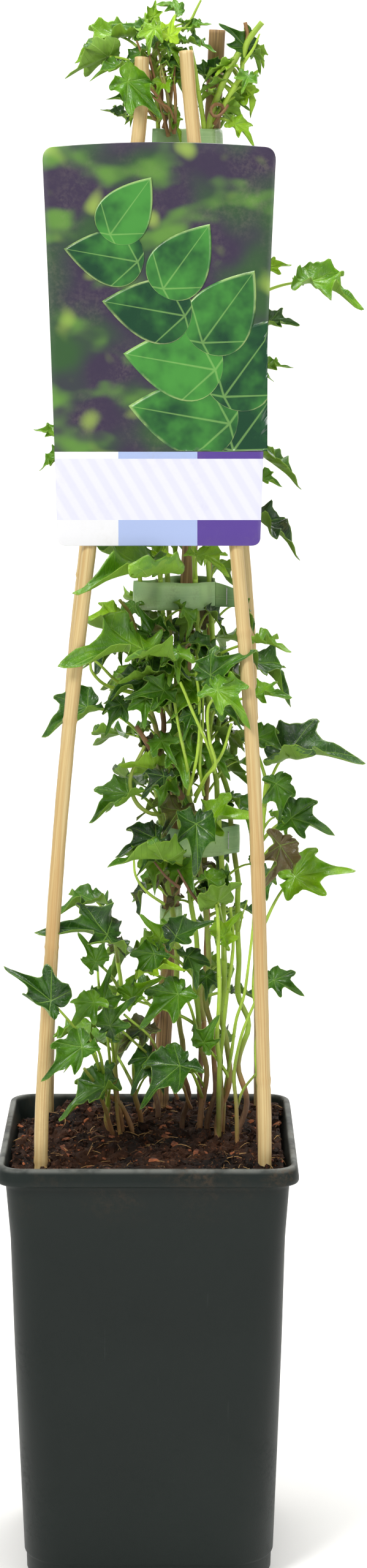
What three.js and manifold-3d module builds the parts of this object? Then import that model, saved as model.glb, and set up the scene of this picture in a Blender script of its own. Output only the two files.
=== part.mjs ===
// A potted ivalace ivy: a square nursery pot full of peat, four light canes leaning to a point,
// a brown centre stake, soft ties, a picture label and the leafy stems that climb the stake.
// Millimetres, +Z up, origin at the centre of the pot's underside, the label faces -Y.

import * as THREE from "three";
import { mergeVertices } from "three/addons/utils/BufferGeometryUtils.js";
import Module from "manifold-3d";

const wasm = await Module();
wasm.setup();

// Driving dimensions
const GAP = 0.3;                 // clearance between pieces that touch
const POT_HEIGHT = 221;
const POT_FLOOR = 2.4;
const CORNER_STEPS = 4;          // facets of a quarter turn on the pot
const DRAIN_RADIUS = 5.5;
const DRAIN_SPREAD = 34;         // drain holes stand this far from the centre both ways
const CANE_RADIUS = 3.6;
const STAKE_RADIUS = 4.2;
const STEM_RADIUS = 1.5;
const PETIOLE_RADIUS = 0.75;
const BLADE_THICKNESS = 0.9;
const TAPE_THICKNESS = 0.7;
const LABEL_THICKNESS = 0.8;

// The pot's outside from the foot up: height, half width, corner radius
const POT_OUTSIDE = [
  [0, 60.4, 22], [2.5, 62.4, 24], [10.6, 62.6, 24], [12.1, 63.6, 25], [125, 67.2, 17.5], [181, 68.5, 14],
  [211, 70.5, 10], [212.5, 75, 12.5], [215, 75, 12.5], [POT_HEIGHT, 74, 12],
];
// The pot's inside from the floor to the rim's opening
const POT_INSIDE = [
  [POT_FLOOR, 59.9, 21], [20, 61.6, 22.5], [125, 65.2, 15], [181, 66.5, 12],
  [211, 68.5, 9], [POT_HEIGHT + 1, 71, 9.5],
];

// Canes and stake: centre points from the buried end to the top
const CANES = {
  cane_front_left: [[-52.9, -57, 110], [-53, -57, 221], [-49.7, -57, 288], [-41.2, -50, 404],
    [-28.2, -38, 523], [-4.3, -15, 719], [-2.3, -12, 759]],
  cane_front_right: [[56.8, -56, 120], [58.1, -57, 217], [56.6, -57, 288], [52.4, -50, 409],
    [43.6, -38, 523], [23, -15, 719], [19, -12, 762]],
  cane_back_left: [[-53, 57, 110], [-54.4, 57, 223], [-51, 54, 310], [-43, 45, 408], [-32, 35, 516],
    [-5, 18, 719], [-3, 15, 752]],
  cane_back_right: [[57.5, 56.5, 110], [58.5, 57, 222], [57.6, 54, 310], [53.6, 45, 408], [48, 35, 516],
    [24, 36, 719], [19, 35, 752]],
};
const STAKE = [
  [4, 50, 80], [5.9, 50, 223], [10.5, 42, 309], [20, 35, 497], [31.6, 23, 719], [34.4, 20, 774],
];

// The lower and upper edges of each tie
const TIE_BANDS = {
  tie_top: [714, 726], tie_upper: [489, 503], tie_middle: [364, 378], tie_lower: [319, 331],
};

const COLOURS = {
  pot: 0x2b302d, soil: 0x2a1d14, cane: 0xcdb27c, stake: 0x6b4428, tie: 0x7d9b69, label: 0xe6e6f2,
  ivy: 0x3c7828,
};

// Solids and meshes

function toSolid(geometry) {
  const plain = geometry.index ? geometry.toNonIndexed() : geometry.clone();
  plain.deleteAttribute("normal");
  plain.deleteAttribute("uv");
  const merged = mergeVertices(plain, 1e-4);
  const triVerts = new Uint32Array(merged.index.array);
  const vertProperties = new Float32Array(merged.attributes.position.array);
  return new wasm.Manifold(new wasm.Mesh({ numProp: 3, vertProperties, triVerts }));
}

function toMesh(name, solid, colour, roughness) {
  const { vertProperties, triVerts } = solid.getMesh();
  const geometry = new THREE.BufferGeometry();
  geometry.setAttribute("position", new THREE.BufferAttribute(vertProperties, 3));
  geometry.setIndex(new THREE.BufferAttribute(triVerts, 1));
  const flat = geometry.toNonIndexed();
  flat.computeVertexNormals();
  const material = new THREE.MeshStandardMaterial({ color: colour, roughness, metalness: 0 });
  const mesh = new THREE.Mesh(flat, material);
  mesh.name = name;
  return mesh;
}

function fromTriangles(points, faces) {
  const geometry = new THREE.BufferGeometry();
  geometry.setAttribute("position", new THREE.Float32BufferAttribute(points.flat(), 3));
  geometry.setIndex(faces.flat());
  return geometry;
}

const vector = ([x, y, z]) => new THREE.Vector3(x, y, z);

function curveThrough(points) {
  return new THREE.CatmullRomCurve3(points.map(vector), false, "catmullrom", 0.5);
}

function tube(curve, radius, sides, steps) {
  const shape = new THREE.Shape();
  for (let i = 0; i < sides; i += 1) {
    const turn = 2 * Math.PI * i / sides;
    const place = [radius * Math.cos(turn), radius * Math.sin(turn)];
    if (i === 0) shape.moveTo(...place);
    else shape.lineTo(...place);
  }
  return toSolid(new THREE.ExtrudeGeometry(shape, { steps, bevelEnabled: false, extrudePath: curve }));
}

// Pot and soil

function roundedSquare(half, corner) {
  const outline = [];
  for (let quarter = 0; quarter < 4; quarter += 1) {
    const middle = (quarter + 0.5) * Math.PI / 2;
    const reach = (half - corner) * Math.SQRT2;
    for (let i = 0; i <= CORNER_STEPS; i += 1) {
      const turn = (quarter + i / CORNER_STEPS) * Math.PI / 2;
      outline.push([
        reach * Math.cos(middle) + corner * Math.cos(turn),
        reach * Math.sin(middle) + corner * Math.sin(turn),
      ]);
    }
  }
  return outline;
}

// Rings of equal length, lowest first, become one closed body with a fan at each end
function loft(rings) {
  const count = rings[0].length;
  const points = rings.flat();
  const faces = [];
  for (let level = 0; level + 1 < rings.length; level += 1) {
    for (let i = 0; i < count; i += 1) {
      const a = level * count + i;
      const b = level * count + (i + 1) % count;
      faces.push([a, b, b + count], [a, b + count, a + count]);
    }
  }
  const mean = (ring) => [0, 1, 2].map((axis) => ring.reduce((sum, p) => sum + p[axis], 0) / count);
  const top = (rings.length - 1) * count;
  points.push(mean(rings[0]), mean(rings[rings.length - 1]));
  for (let i = 0; i < count; i += 1) {
    const next = (i + 1) % count;
    faces.push([points.length - 2, next, i], [points.length - 1, top + i, top + next]);
  }
  return toSolid(fromTriangles(points, faces));
}

const squareRing = ([z, half, corner]) => roundedSquare(half, corner).map(([x, y]) => [x, y, z]);

function makePot() {
  let pot = loft(POT_OUTSIDE.map(squareRing)).subtract(loft(POT_INSIDE.map(squareRing)));
  for (const x of [-DRAIN_SPREAD, DRAIN_SPREAD]) {
    for (const y of [-DRAIN_SPREAD, DRAIN_SPREAD]) {
      const drain = new THREE.CylinderGeometry(DRAIN_RADIUS, DRAIN_RADIUS, 4 * POT_FLOOR, 10);
      drain.rotateX(Math.PI / 2);
      drain.translate(x, y, 0);
      pot = pot.subtract(toSolid(drain));
    }
  }
  return pot;
}

// Humps and hollows of the peat: place, height and spread
const SOIL_LEVEL = 216;
const SOIL_SHAPE = [
  [0, -62, 3.5, 22], [-60, 60, -9, 15], [-38, 46, 8, 12], [-22, -38, -8, 10],
  [26, -4, 4, 22], [52, 40, 2, 20], [10, 48, 3, 14],
];
const SOIL_RINGS = 7;
const SOIL_EDGE = [204, 67.6, 9.4];  // height, half width and corner radius where the sides end
const SOIL_SIDES = 4;                // the peat touches this many levels of the pot's inside

function soilHeight(x, y) {
  const ripple = 0.8 * Math.sin(0.21 * x + 1) * Math.cos(0.17 * y) + 0.5 * Math.sin(0.37 * x - 0.29 * y);
  let z = SOIL_LEVEL + ripple;
  for (const [cx, cy, height, spread] of SOIL_SHAPE) {
    z += height * Math.exp(-((x - cx) ** 2 + (y - cy) ** 2) / (2 * spread ** 2));
  }
  return z;
}

function makeSoil(roots) {
  const walls = POT_INSIDE.slice(0, SOIL_SIDES);
  const sides = walls.map(([z, half, corner]) => [z + GAP, half - GAP, corner - GAP]);
  const rings = [...sides, SOIL_EDGE].map(squareRing);
  const edge = roundedSquare(SOIL_EDGE[1], SOIL_EDGE[2]);
  for (let k = SOIL_RINGS; k >= 1; k -= 1) {
    const reach = k / SOIL_RINGS;
    rings.push(edge.map(([x, y]) => [reach * x, reach * y, soilHeight(reach * x, reach * y)]));
  }
  let soil = loft(rings);
  for (const root of roots) {
    soil = soil.subtract(root);
  }
  return soil;
}

// A rod and the plain hole that it needs in the peat
function rod(points, radius, sides, steps) {
  const [x, y, z] = points[0];
  const deeper = [[x, y, z - GAP], ...points.slice(1)];
  return {
    solid: tube(curveThrough(points), radius, sides, steps),
    hole: tube(curveThrough(deeper), radius + GAP, sides, steps),
    axis: curveThrough(points).getSpacedPoints(steps),
    radius,
  };
}

// Ties: a tape round the stems and the stake, drawn as the hull of what it holds

function hull(points) {
  const sorted = [...points].sort((a, b) => a[0] - b[0] || a[1] - b[1]);
  const half = (list) => {
    const chain = [];
    for (const p of list) {
      while (chain.length > 1) {
        const [a, b] = chain.slice(-2);
        if ((b[0] - a[0]) * (p[1] - a[1]) - (b[1] - a[1]) * (p[0] - a[0]) > 0) break;
        chain.pop();
      }
      chain.push(p);
    }
    return chain.slice(0, -1);
  };
  return [...half(sorted), ...half(sorted.reverse())];
}

// The point at a height on an axis that climbs all the way
function atHeight(axis, z) {
  const above = axis.findIndex((point, i) => i > 0 && point.z >= z);
  const i = above < 0 ? axis.length - 1 : above;
  const share = (z - axis[i - 1].z) / (axis[i].z - axis[i - 1].z);
  return axis[i - 1].clone().lerp(axis[i], Math.min(share, 1));
}

const HULL_STEPS = 12;

function loopOutline(held, low, high, clearance) {
  const points = [];
  for (const { axis, radius } of held) {
    for (const z of [low, (low + high) / 2, high]) {
      const centre = atHeight(axis, z);
      for (let i = 0; i < HULL_STEPS; i += 1) {
        const turn = 2 * Math.PI * i / HULL_STEPS;
        const reach = radius + clearance;
        points.push([centre.x + reach * Math.cos(turn), centre.y + reach * Math.sin(turn)]);
      }
    }
  }
  return hull(points).map(([x, y]) => new THREE.Vector2(x, y));
}

function makeTie(held, [low, high]) {
  const shape = new THREE.Shape(loopOutline(held, low, high, GAP + TAPE_THICKNESS));
  shape.holes.push(new THREE.Path(loopOutline(held, low, high, GAP)));
  const tape = new THREE.ExtrudeGeometry(shape, { depth: high - low, bevelEnabled: false });
  tape.translate(0, 0, low);
  return toSolid(tape);
}

// Label: a thin card against the two front canes, narrower and further forward at its foot
const LABEL = {
  top: { left: -50.3, right: 62.4, y: -20.4, z: 716.4, round: 6.6 },
  foot: { left: -43.5, right: 55.2, y: -42.6, z: 525.3, round: 4.6 },
  crown: 2.1,                    // how far the upper edge bows up
  waist: 0.8,                    // how far the sides bow in
};

function makeLabel() {
  const { top, foot, crown, waist } = LABEL;
  const height = Math.hypot(top.z - foot.z, top.y - foot.y);
  const shape = new THREE.Shape();
  shape.moveTo(foot.left + foot.round, 0);
  shape.lineTo(foot.right - foot.round, 0);
  shape.quadraticCurveTo(foot.right, 0, foot.right, foot.round);
  shape.quadraticCurveTo((top.right + foot.right) / 2 - waist, height / 2, top.right, height - top.round);
  shape.quadraticCurveTo(top.right, height, top.right - top.round, height);
  shape.quadraticCurveTo((top.left + top.right) / 2, height + 2 * crown, top.left + top.round, height);
  shape.quadraticCurveTo(top.left, height, top.left, height - top.round);
  shape.quadraticCurveTo((top.left + foot.left) / 2 + waist, height / 2, foot.left, foot.round);
  shape.quadraticCurveTo(foot.left, 0, foot.left + foot.round, 0);
  const settings = { depth: LABEL_THICKNESS, bevelEnabled: false, curveSegments: 5 };
  const card = new THREE.ExtrudeGeometry(shape, settings);
  const across = new THREE.Vector3(1, 0, 0);
  const upward = new THREE.Vector3(0, top.y - foot.y, top.z - foot.z).normalize();
  const forward = new THREE.Vector3().crossVectors(across, upward);
  const place = new THREE.Matrix4().makeBasis(across, upward, forward);
  place.setPosition(0, foot.y + LABEL_THICKNESS / 2, foot.z);
  card.applyMatrix4(place);
  return toSolid(card);
}

// Leaves: five pointed lobes with raised margins between them.
// The outline goes round the hub: angle from the tip in degrees, reach and lift in leaf lengths.
const LEAF_HALF = [[28, 0.52, 0.07], [52, 0.74, -0.03], [81, 0.44, 0.09], [114, 0.50, 0.00],
  [150, 0.28, 0.00]];
const LEAF_OUTLINE = [
  [0, 1, -0.1],
  ...LEAF_HALF,
  ...LEAF_HALF.map(([angle, reach, lift]) => [-angle, reach, lift]).reverse(),
];
const PETIOLE_RISE = 0.16;       // how far a petiole arches up, by its length
const PETIOLE_SEAT = 0.11;       // it meets the blade this far behind the hub, in leaf lengths

function facing(azimuth, elevation) {
  const turn = THREE.MathUtils.degToRad(azimuth);
  const rise = THREE.MathUtils.degToRad(elevation);
  const flat = Math.cos(rise);
  return new THREE.Vector3(Math.sin(turn) * flat, -Math.cos(turn) * flat, Math.sin(rise));
}

function makeBlade(hub, tip, azimuth, elevation) {
  const along = tip.clone().sub(hub);
  const length = along.length();
  along.normalize();
  const normal = facing(azimuth, elevation);
  normal.addScaledVector(along, -normal.dot(along)).normalize();
  const across = new THREE.Vector3().crossVectors(normal, along);
  const rim = LEAF_OUTLINE.map(([angle, reach, lift]) => {
    const turn = THREE.MathUtils.degToRad(angle);
    return hub.clone()
      .addScaledVector(along, length * reach * Math.cos(turn))
      .addScaledVector(across, length * reach * Math.sin(turn))
      .addScaledVector(normal, length * lift);
  });
  const count = rim.length;
  const points = [];
  for (const side of [0.5, -0.5]) {
    for (const p of [...rim, hub]) {
      points.push(p.clone().addScaledVector(normal, side * BLADE_THICKNESS).toArray());
    }
  }
  const under = count + 1;
  const faces = [];
  for (let i = 0; i < count; i += 1) {
    const next = (i + 1) % count;
    faces.push([count, i, next], [under + count, under + next, under + i]);
    faces.push([i, under + i, under + next], [i, under + next, next]);
  }
  return toSolid(fromTriangles(points, faces));
}

function makePetiole(axis, rootZ, hub, tip, via) {
  const root = atHeight(axis, rootZ);
  const seat = hub.clone().lerp(tip, -PETIOLE_SEAT);
  const middle = via ? vector(via) : root.clone().add(seat).multiplyScalar(0.5);
  if (!via) middle.z += PETIOLE_RISE * root.distanceTo(seat);
  return tube(new THREE.QuadraticBezierCurve3(root, middle, seat), PETIOLE_RADIUS, 3, 2);
}

// Leafy stems. Each has its path from the soil up, and a row for each leaf:
// hub, tip, azimuth and elevation that the blade faces, height of its root, and where its petiole passes
const STEMS = {
  ivy_crown_left: {
    path: [[34, -5, 198], [31, 6, 310], [24, 12, 371], [10, 12, 497], [8, 9, 610], [5.5, 7, 722],
      [4, 0, 745], [5, -2, 760], [12, 1, 776]],
    leaves: [
      [[-18.5, -5, 760], [-41, -12, 753], 180, 60, 750],
      [[-13, 3, 770], [-36, -2, 764], -20, 60, 754],
      [[2, 2, 770], [-14, -2, 778], 0, 46, 762],
      [[3, 0, 779], [5, 0, 787], 0, 20, 770],
      [[15, 2, 782], [6, 4, 788], 20, 56, 775],
      [[11, -14, 769], [13, -14, 780], 0, 15, 760],
      [[22, 0, 774], [31, -2, 777], 0, 56, 772],
      [[21, 0, 767], [34, -2, 765], 0, 75, 768],
      [[16, -2, 767], [5, -3, 767], 0, 75, 764],
      [[-9, -24, 747], [9, -26, 731], -10, 23, 736, [8, -22, 750]],
      [[-7, -4, 739], [-19, -8, 741], 0, 46, 732],
      [[-12, 3, 732], [-22, 0, 736], -60, 36, 730],
      [[-13, -8, 755], [-28, -12, 752], 0, 66, 748],
      [[4, -7, 660], [-1, -16, 672], -10, 53, 650],
      [[0, -6, 622], [-14, -14, 616], -20, 61, 606],
      [[6, -6, 555], [-10, -24, 550], 0, 61, 540],
      [[-14, 3, 686], [-34, -1, 678], -80, 66, 670],
      [[-10, 8, 650], [-32, 4, 654], -70, 56, 632],
      [[-14, 8, 602], [-39, 2, 594], -70, 61, 588],
    ],
  },
  ivy_crown_right: {
    path: [[46, -17, 198], [46, 2, 310], [43, 14, 371], [31, 16, 497], [30, 12, 610], [29, 11, 710],
      [31, 10, 726], [38, 8, 738], [44, 7, 752], [47, 6, 762]],
    leaves: [
      [[48, 6, 765], [38, 0, 777], 0, 23, 760],
      [[43, 4, 728], [54, 2, 720], 10, 36, 731],
      [[33, 6, 754], [42, 4, 761], 10, 38, 746],
      [[28, 8, 752], [21, 6, 759], 0, 38, 744],
      [[46, 14, 743], [55, 14, 755], 20, 38, 738],
      [[42, 14, 700], [62, 14, 706], 80, 66, 682],
      [[26, -4, 674], [30, -16, 686], 10, 48, 660],
      [[46, 18, 614], [64, 24, 606], 110, 66, 594],
      [[46, 8, 578], [66, 3, 570], 60, 66, 558],
    ],
  },
  ivy_right_upper: {
    path: [[37, -11, 198], [38, 0, 310], [36, 8, 371], [24, 8, 497], [24, 3, 570], [38, 0, 620],
      [54, 0, 650]],
    leaves: [
      [[80, -2, 652], [108, -5, 644], 10, 66, 642],
      [[59, -2, 658], [70, -4, 662], 10, 46, 648],
      [[60, -6, 632], [74, -8, 634], 20, 46, 622],
      [[58, -3, 610], [71, -5, 613], 40, 56, 610],
      [[56, -2, 555], [67, -5, 554], 40, 56, 546],
      [[24, -10, 588], [14, -24, 580], 0, 61, 566],
      [[26, -12, 518], [40, -24, 513], 10, 70, 504],
      [[20, -14, 458], [36, -24, 460], 180, 70, 446],
      [[31, -42, 462], [46, -54, 477], 0, 28, 450],
      [[53, -14, 475], [71.5, -22, 475], 30, 80, 458],
      [[54, -12, 448], [70, -20, 451], 20, 56, 434],
      [[34, -53.2, 456], [52, -62.2, 446], 10, 36, 434],
      [[36, -14, 442], [48, -22, 436], 20, 46, 426],
      [[30, -14, 384], [50, -28, 393], 0, 46, 382],
      [[35, -26, 346], [37, -40, 361], 0, 58, 322],
      [[38, -16, 326], [44, -24, 339], 0, 38, 310],
      [[28, -20, 272], [33, -27, 286], 0, 30, 250],
    ],
  },
  ivy_right: {
    path: [[55, -32, 198], [56, -20, 280], [54, -8, 340], [58, -2, 380], [60, -4, 405]],
    leaves: [
      [[54, -8, 426], [72, -18, 422], 20, 56, 402],
      [[69, -6, 417], [105.5, -10, 426], 10, 61, 396],
      [[64, -16, 404], [68, -22, 387], 30, 10, 390],
      [[72, -8, 385], [93, -14, 382], 20, 30, 372],
      [[74, -8, 355], [102, -12, 363], 10, 34, 320],
      [[66, -24, 374], [62, -32, 352], 40, 10, 360],
      [[63, -28, 306], [78, -34, 301], 20, 30, 272],
    ],
  },
  ivy_front: {
    path: [[28, -2, 198], [25, 2, 310], [17, 3, 371], [8, 2, 480], [6, 1, 510]],
    leaves: [
      [[1, -30, 513], [-34, -57, 512], -10, 51, 505],
      [[8, -8, 513], [1, -15, 521], 0, 38, 507],
      [[3, -11, 478], [-5, -16, 492], 0, 28, 470],
      [[-2, -31, 473], [-37, -61, 478], 0, 56, 458],
      [[6, -16, 457], [-15, -26, 461], 180, 70, 446],
      [[3, -18, 468], [20, -33, 465], 10, 66, 454],
      [[8, -24, 452], [-10, -34, 451], 0, 31, 438],
      [[-1, -26, 448], [-2, -34, 435], 0, 38, 434],
      [[0, -14, 456], [-22, -22, 451], 0, 66, 440],
      [[22, -22, 440], [18, -30, 429], 0, 38, 426],
      [[4, -10, 409], [-15, -18, 417], 180, 52, 400],
      [[8, -18, 408], [-4, -25, 401], 0, 46, 394],
      [[24, -30, 386], [26, -44, 365], 10, 33, 384],
      [[4, -16, 376], [-15, -25, 371], 0, 46, 386],
      [[8, -24, 367], [-19, -36, 374], 180, 75, 356],
      [[14, -26, 328], [32, -34, 338], 0, 46, 302],
      [[6, -14, 324], [-2, -20, 338], 0, 38, 306],
      [[3, -20, 318], [-10, -28, 306], 0, 28, 300],
      [[0, -22, 310], [17, -30, 315], 0, 70, 290],
      [[-8, -24, 296], [4, -30, 308], 0, 38, 276],
      [[20, -18, 316], [27, -25, 302], 30, 28, 296],
      [[15, -24, 298], [-4, -34, 284], 0, 46, 270],
      [[16, -28, 262], [-6, -40, 248], 0, 56, 238],
    ],
  },
  ivy_left_upper: {
    path: [[23, 9, 198], [15, 13, 310], [7, 15, 371], [-4, 16, 497], [-11, 12, 540], [-22, 6, 562],
      [-33, 2, 570]],
    leaves: [
      [[-46, 0, 577], [-56, -2, 580], -20, 56, 566],
      [[-44, 4, 566], [-55, 4, 560], -40, 46, 560],
      [[-15, -6, 486], [-31, -14, 490], -20, 56, 476],
      [[-13, -18, 444], [-21, -28, 432], -20, 28, 430],
      [[-30, -14, 442], [-54, -18, 431], -20, 46, 414],
      [[-10, -17, 399], [-30, -26, 388], -20, 56, 380],
    ],
  },
  ivy_left: {
    path: [[-13, 15, 198], [-14, 4, 260], [-15, -2, 300], [-16, -6, 322]],
    leaves: [
      [[-26, -16, 344], [-49, -22, 346], -20, 84, 318],
      [[-20, -46, 333], [-46, -64, 344], -10, 46, 310],
      [[-26, -30, 316], [-32, -37, 329], 0, 28, 294],
      [[-23, -20, 293], [-19, -27, 309], 0, 30, 272],
      [[-27, -34, 296], [-40, -42, 286], -10, 46, 268],
      [[-19, -26, 282], [-10, -33, 299], 0, 38, 256],
    ],
  },
  ivy_left_low: {
    path: [[-18, 18, 198], [-22, 6, 232], [-25, 0, 250]],
    leaves: [
      [[-47, -68.5, 305], [-67.5, -69.5, 323], -10, 38, 246, [-24, -40, 272]],
      [[-32, -65.5, 281], [-51, -74.5, 267], -15, 31, 236],
      [[-22, -24, 250], [-46, -34, 243], -20, 70, 232],
      [[-34, 8, 272], [-56, 14, 268], -100, 66, 244],
    ],
  },
  ivy_short: {
    path: [[-7, 25, 198], [-6, 12, 232], [-4, 2, 256], [-4, -2, 272]],
    leaves: [
      [[0, -18, 264], [-10, -28, 250], 0, 38, 248],
      [[-2, -14, 278], [-17, -24, 271], 0, 56, 266],
      [[-26, 24, 262], [-48, 28, 254], -100, 66, 242],
    ],
  },
};

// Two more stems climb behind, their leaves turned by the golden angle within fans
// that pass beside the stake and the back canes
const BACK_STEMS = {
  ivy_back_left: {
    path: [[0, 38, 198], [5, 33, 270], [9, 29, 326], [7, 27, 371], [6, 26, 497], [12, 24, 610],
      [16, 22, 700]],
    seed: 7,
    fans: [
      { azimuth: -136, spread: 14, from: 240, to: 308, count: 3, stalk: 24, length: 29 },
      { azimuth: -136, spread: 14, from: 380, to: 470, count: 4, stalk: 24, length: 26 },
      { azimuth: -167, spread: 9, from: 505, to: 660, count: 6, stalk: 20, length: 31 },
    ],
  },
  ivy_back_right: {
    path: [[24, 34, 198], [28, 34, 270], [30, 32, 326], [29, 30, 371], [31, 27, 497], [33, 24, 570]],
    seed: 11,
    fans: [
      { azimuth: 172, spread: 6, from: 238, to: 350, count: 4, stalk: 22, length: 24 },
      { azimuth: 172, spread: 6, from: 382, to: 478, count: 3, stalk: 22, length: 23 },
      { azimuth: 94, spread: 6, from: 260, to: 348, count: 2, stalk: 16, length: 15 },
      { azimuth: 72, spread: 10, from: 430, to: 480, count: 1, stalk: 24, length: 26 },
      { azimuth: 86, spread: 8, from: 510, to: 570, count: 2, stalk: 24, length: 26 },
    ],
  },
};
const GOLDEN = 0.618034;

// A small repeatable draw between 0 and 1
function seeded(seed) {
  let state = seed;
  return () => {
    state = (state * 9301 + 49297) % 233280;
    return state / 233280;
  };
}

function fanLeaves(axis, { azimuth, spread, from, to, count, stalk, length }, draw) {
  const rows = [];
  for (let i = 0; i < count; i += 1) {
    const rootZ = from + (to - from) * (i + 0.5) / count;
    const turn = azimuth + spread * (2 * ((i * GOLDEN) % 1) - 1);
    const out = facing(turn, 0);
    const reach = length * (0.85 + 0.3 * draw());
    const droop = 0.1 + 0.5 * draw();
    const hub = atHeight(axis, rootZ).addScaledVector(out, stalk * (0.85 + 0.3 * draw()));
    hub.z += 4 + 6 * draw();
    const tip = hub.clone().addScaledVector(out, reach * Math.cos(droop));
    tip.z -= reach * Math.sin(droop);
    rows.push([hub.toArray(), tip.toArray(), turn, 40, rootZ]);
  }
  return rows;
}

function backLeaves(axis, { seed, fans }) {
  const draw = seeded(seed);
  return fans.flatMap((fan) => fanLeaves(axis, fan, draw));
}

function makeVine(stem, leaves) {
  let vine = stem.solid;
  for (const [hub, tip, azimuth, elevation, rootZ, via] of leaves) {
    vine = vine.add(makePetiole(stem.axis, rootZ, vector(hub), vector(tip), via));
    vine = vine.add(makeBlade(vector(hub), vector(tip), azimuth, elevation));
  }
  return vine;
}

// The whole plant

const stemRod = (path) => rod(path, STEM_RADIUS, 4, 2 * path.length);
const canes = Object.entries(CANES).map(([name, path]) => [name, rod(path, CANE_RADIUS, 8, 8)]);
const stake = rod(STAKE, STAKE_RADIUS, 10, 8);
const stems = {};
const leaves = {};
for (const [name, row] of Object.entries(STEMS)) {
  stems[name] = stemRod(row.path);
  leaves[name] = row.leaves;
}
for (const [name, row] of Object.entries(BACK_STEMS)) {
  stems[name] = stemRod(row.path);
  leaves[name] = backLeaves(stems[name].axis, row);
}
const crown = [stake, stems.ivy_crown_left, stems.ivy_crown_right];
const bundle = [...crown, stems.ivy_right_upper, stems.ivy_left_upper, stems.ivy_front,
  stems.ivy_back_left, stems.ivy_back_right];
const tied = {
  tie_top: crown, tie_upper: bundle, tie_middle: bundle, tie_lower: [stake, stems.ivy_back_left],
};

const plant = new THREE.Group();
plant.add(toMesh("pot", makePot(), COLOURS.pot, 0.5));
const rods = [...canes.map(([, cane]) => cane), stake, ...Object.values(stems)];
plant.add(toMesh("soil", makeSoil(rods.map(({ hole }) => hole)), COLOURS.soil, 0.95));
for (const [name, cane] of canes) {
  plant.add(toMesh(name, cane.solid, COLOURS.cane, 0.55));
}
plant.add(toMesh("centre_stake", stake.solid, COLOURS.stake, 0.7));
for (const [name, held] of Object.entries(tied)) {
  plant.add(toMesh(name, makeTie(held, TIE_BANDS[name]), COLOURS.tie, 0.6));
}
plant.add(toMesh("label", makeLabel(), COLOURS.label, 0.35));
for (const [name, stem] of Object.entries(stems)) {
  plant.add(toMesh(name, makeVine(stem, leaves[name]), COLOURS.ivy, 0.45));
}

export default plant;
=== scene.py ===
# %% [markdown]
# # A potted ivalace ivy
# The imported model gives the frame: every node is at its real size and place, and this notebook
# dresses it. One row of numbers describes each leaf, and the same rows shape the solids and the
# fine leaves here, so both always agree. Lengths are written in millimetres and made metres by MM.

# %% Load the frame
import math

import bpy
from mathutils import Euler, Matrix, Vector, noise


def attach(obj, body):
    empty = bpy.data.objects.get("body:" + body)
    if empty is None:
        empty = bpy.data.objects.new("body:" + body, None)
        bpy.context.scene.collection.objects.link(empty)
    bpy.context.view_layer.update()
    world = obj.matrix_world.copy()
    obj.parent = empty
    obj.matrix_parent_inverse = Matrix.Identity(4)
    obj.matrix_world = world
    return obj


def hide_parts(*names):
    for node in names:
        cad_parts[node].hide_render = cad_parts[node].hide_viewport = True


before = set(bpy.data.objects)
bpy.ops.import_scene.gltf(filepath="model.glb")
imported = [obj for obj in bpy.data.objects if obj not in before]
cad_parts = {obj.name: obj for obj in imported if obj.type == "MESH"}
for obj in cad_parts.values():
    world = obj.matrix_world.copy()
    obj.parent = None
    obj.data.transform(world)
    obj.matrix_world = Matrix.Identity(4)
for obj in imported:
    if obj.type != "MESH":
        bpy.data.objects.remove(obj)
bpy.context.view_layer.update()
MM = 0.001
print("nodes:", len(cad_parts))

# %% [markdown]
# ## Camera
# The photograph is a tall strip, so the lens is fitted to its height. The camera stands at about
# the height of the label and looks a little down, which shows the soil inside the rim and still
# keeps the canes upright.

# %% Camera
CAMERA_PLACE = (0.0178, -1.6266, 0.6688)
CAMERA_DOWN = 9.3456
LENS = 74.98


def add_camera():
    data = bpy.data.cameras.new("camera")
    data.sensor_fit = "VERTICAL"
    data.sensor_height = 36
    data.lens = LENS
    camera = bpy.data.objects.new("camera", data)
    camera.location = CAMERA_PLACE
    camera.rotation_euler = Euler((math.radians(90 - CAMERA_DOWN), 0, 0))
    bpy.context.collection.objects.link(camera)
    bpy.context.scene.camera = camera
    return camera


print("camera at", tuple(add_camera().location))

# %% [markdown]
# ## Helpers
# Every finished piece is a mesh whose object sits at the origin, with its place in its mesh.
# `finish_piece` hangs the object on the frame's root body and hides the plain solids that it
# stands for.

# %% Mesh helpers


def new_object(name, points, faces, materials, slots=None):
    mesh = bpy.data.meshes.new(name)
    mesh.from_pydata([tuple(p) for p in points], [], faces)
    for material in materials:
        mesh.materials.append(material)
    if slots:
        mesh.polygons.foreach_set("material_index", slots)
    mesh.polygons.foreach_set("use_smooth", [True] * len(faces))
    mesh.update()
    piece = bpy.data.objects.new(name, mesh)
    bpy.context.collection.objects.link(piece)
    return piece


def finish_piece(piece, slot, *nodes):
    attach(piece, "root")
    if nodes:
        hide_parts(*nodes)
    print(piece.name, len(piece.data.polygons), "faces")
    return piece


def set_uv(mesh, coordinates):
    """Give each corner the coordinates of its point"""
    layer = mesh.uv_layers.new(name="UVMap")
    flat = []
    for loop in mesh.loops:
        flat.extend(coordinates[loop.vertex_index])
    layer.data.foreach_set("uv", flat)


def set_value(mesh, name, values):
    """Store one number on each point, for a material to read"""
    attribute = mesh.attributes.new(name, "FLOAT", "POINT")
    attribute.data.foreach_set("value", values)


def evaluated(piece):
    """Turn a piece with live modifiers into a plain mesh, and remove the modifiers"""
    graph = bpy.context.evaluated_depsgraph_get()
    mesh = bpy.data.meshes.new_from_object(piece.evaluated_get(graph), depsgraph=graph)
    piece.modifiers.clear()
    piece.data = mesh
    return piece


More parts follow.
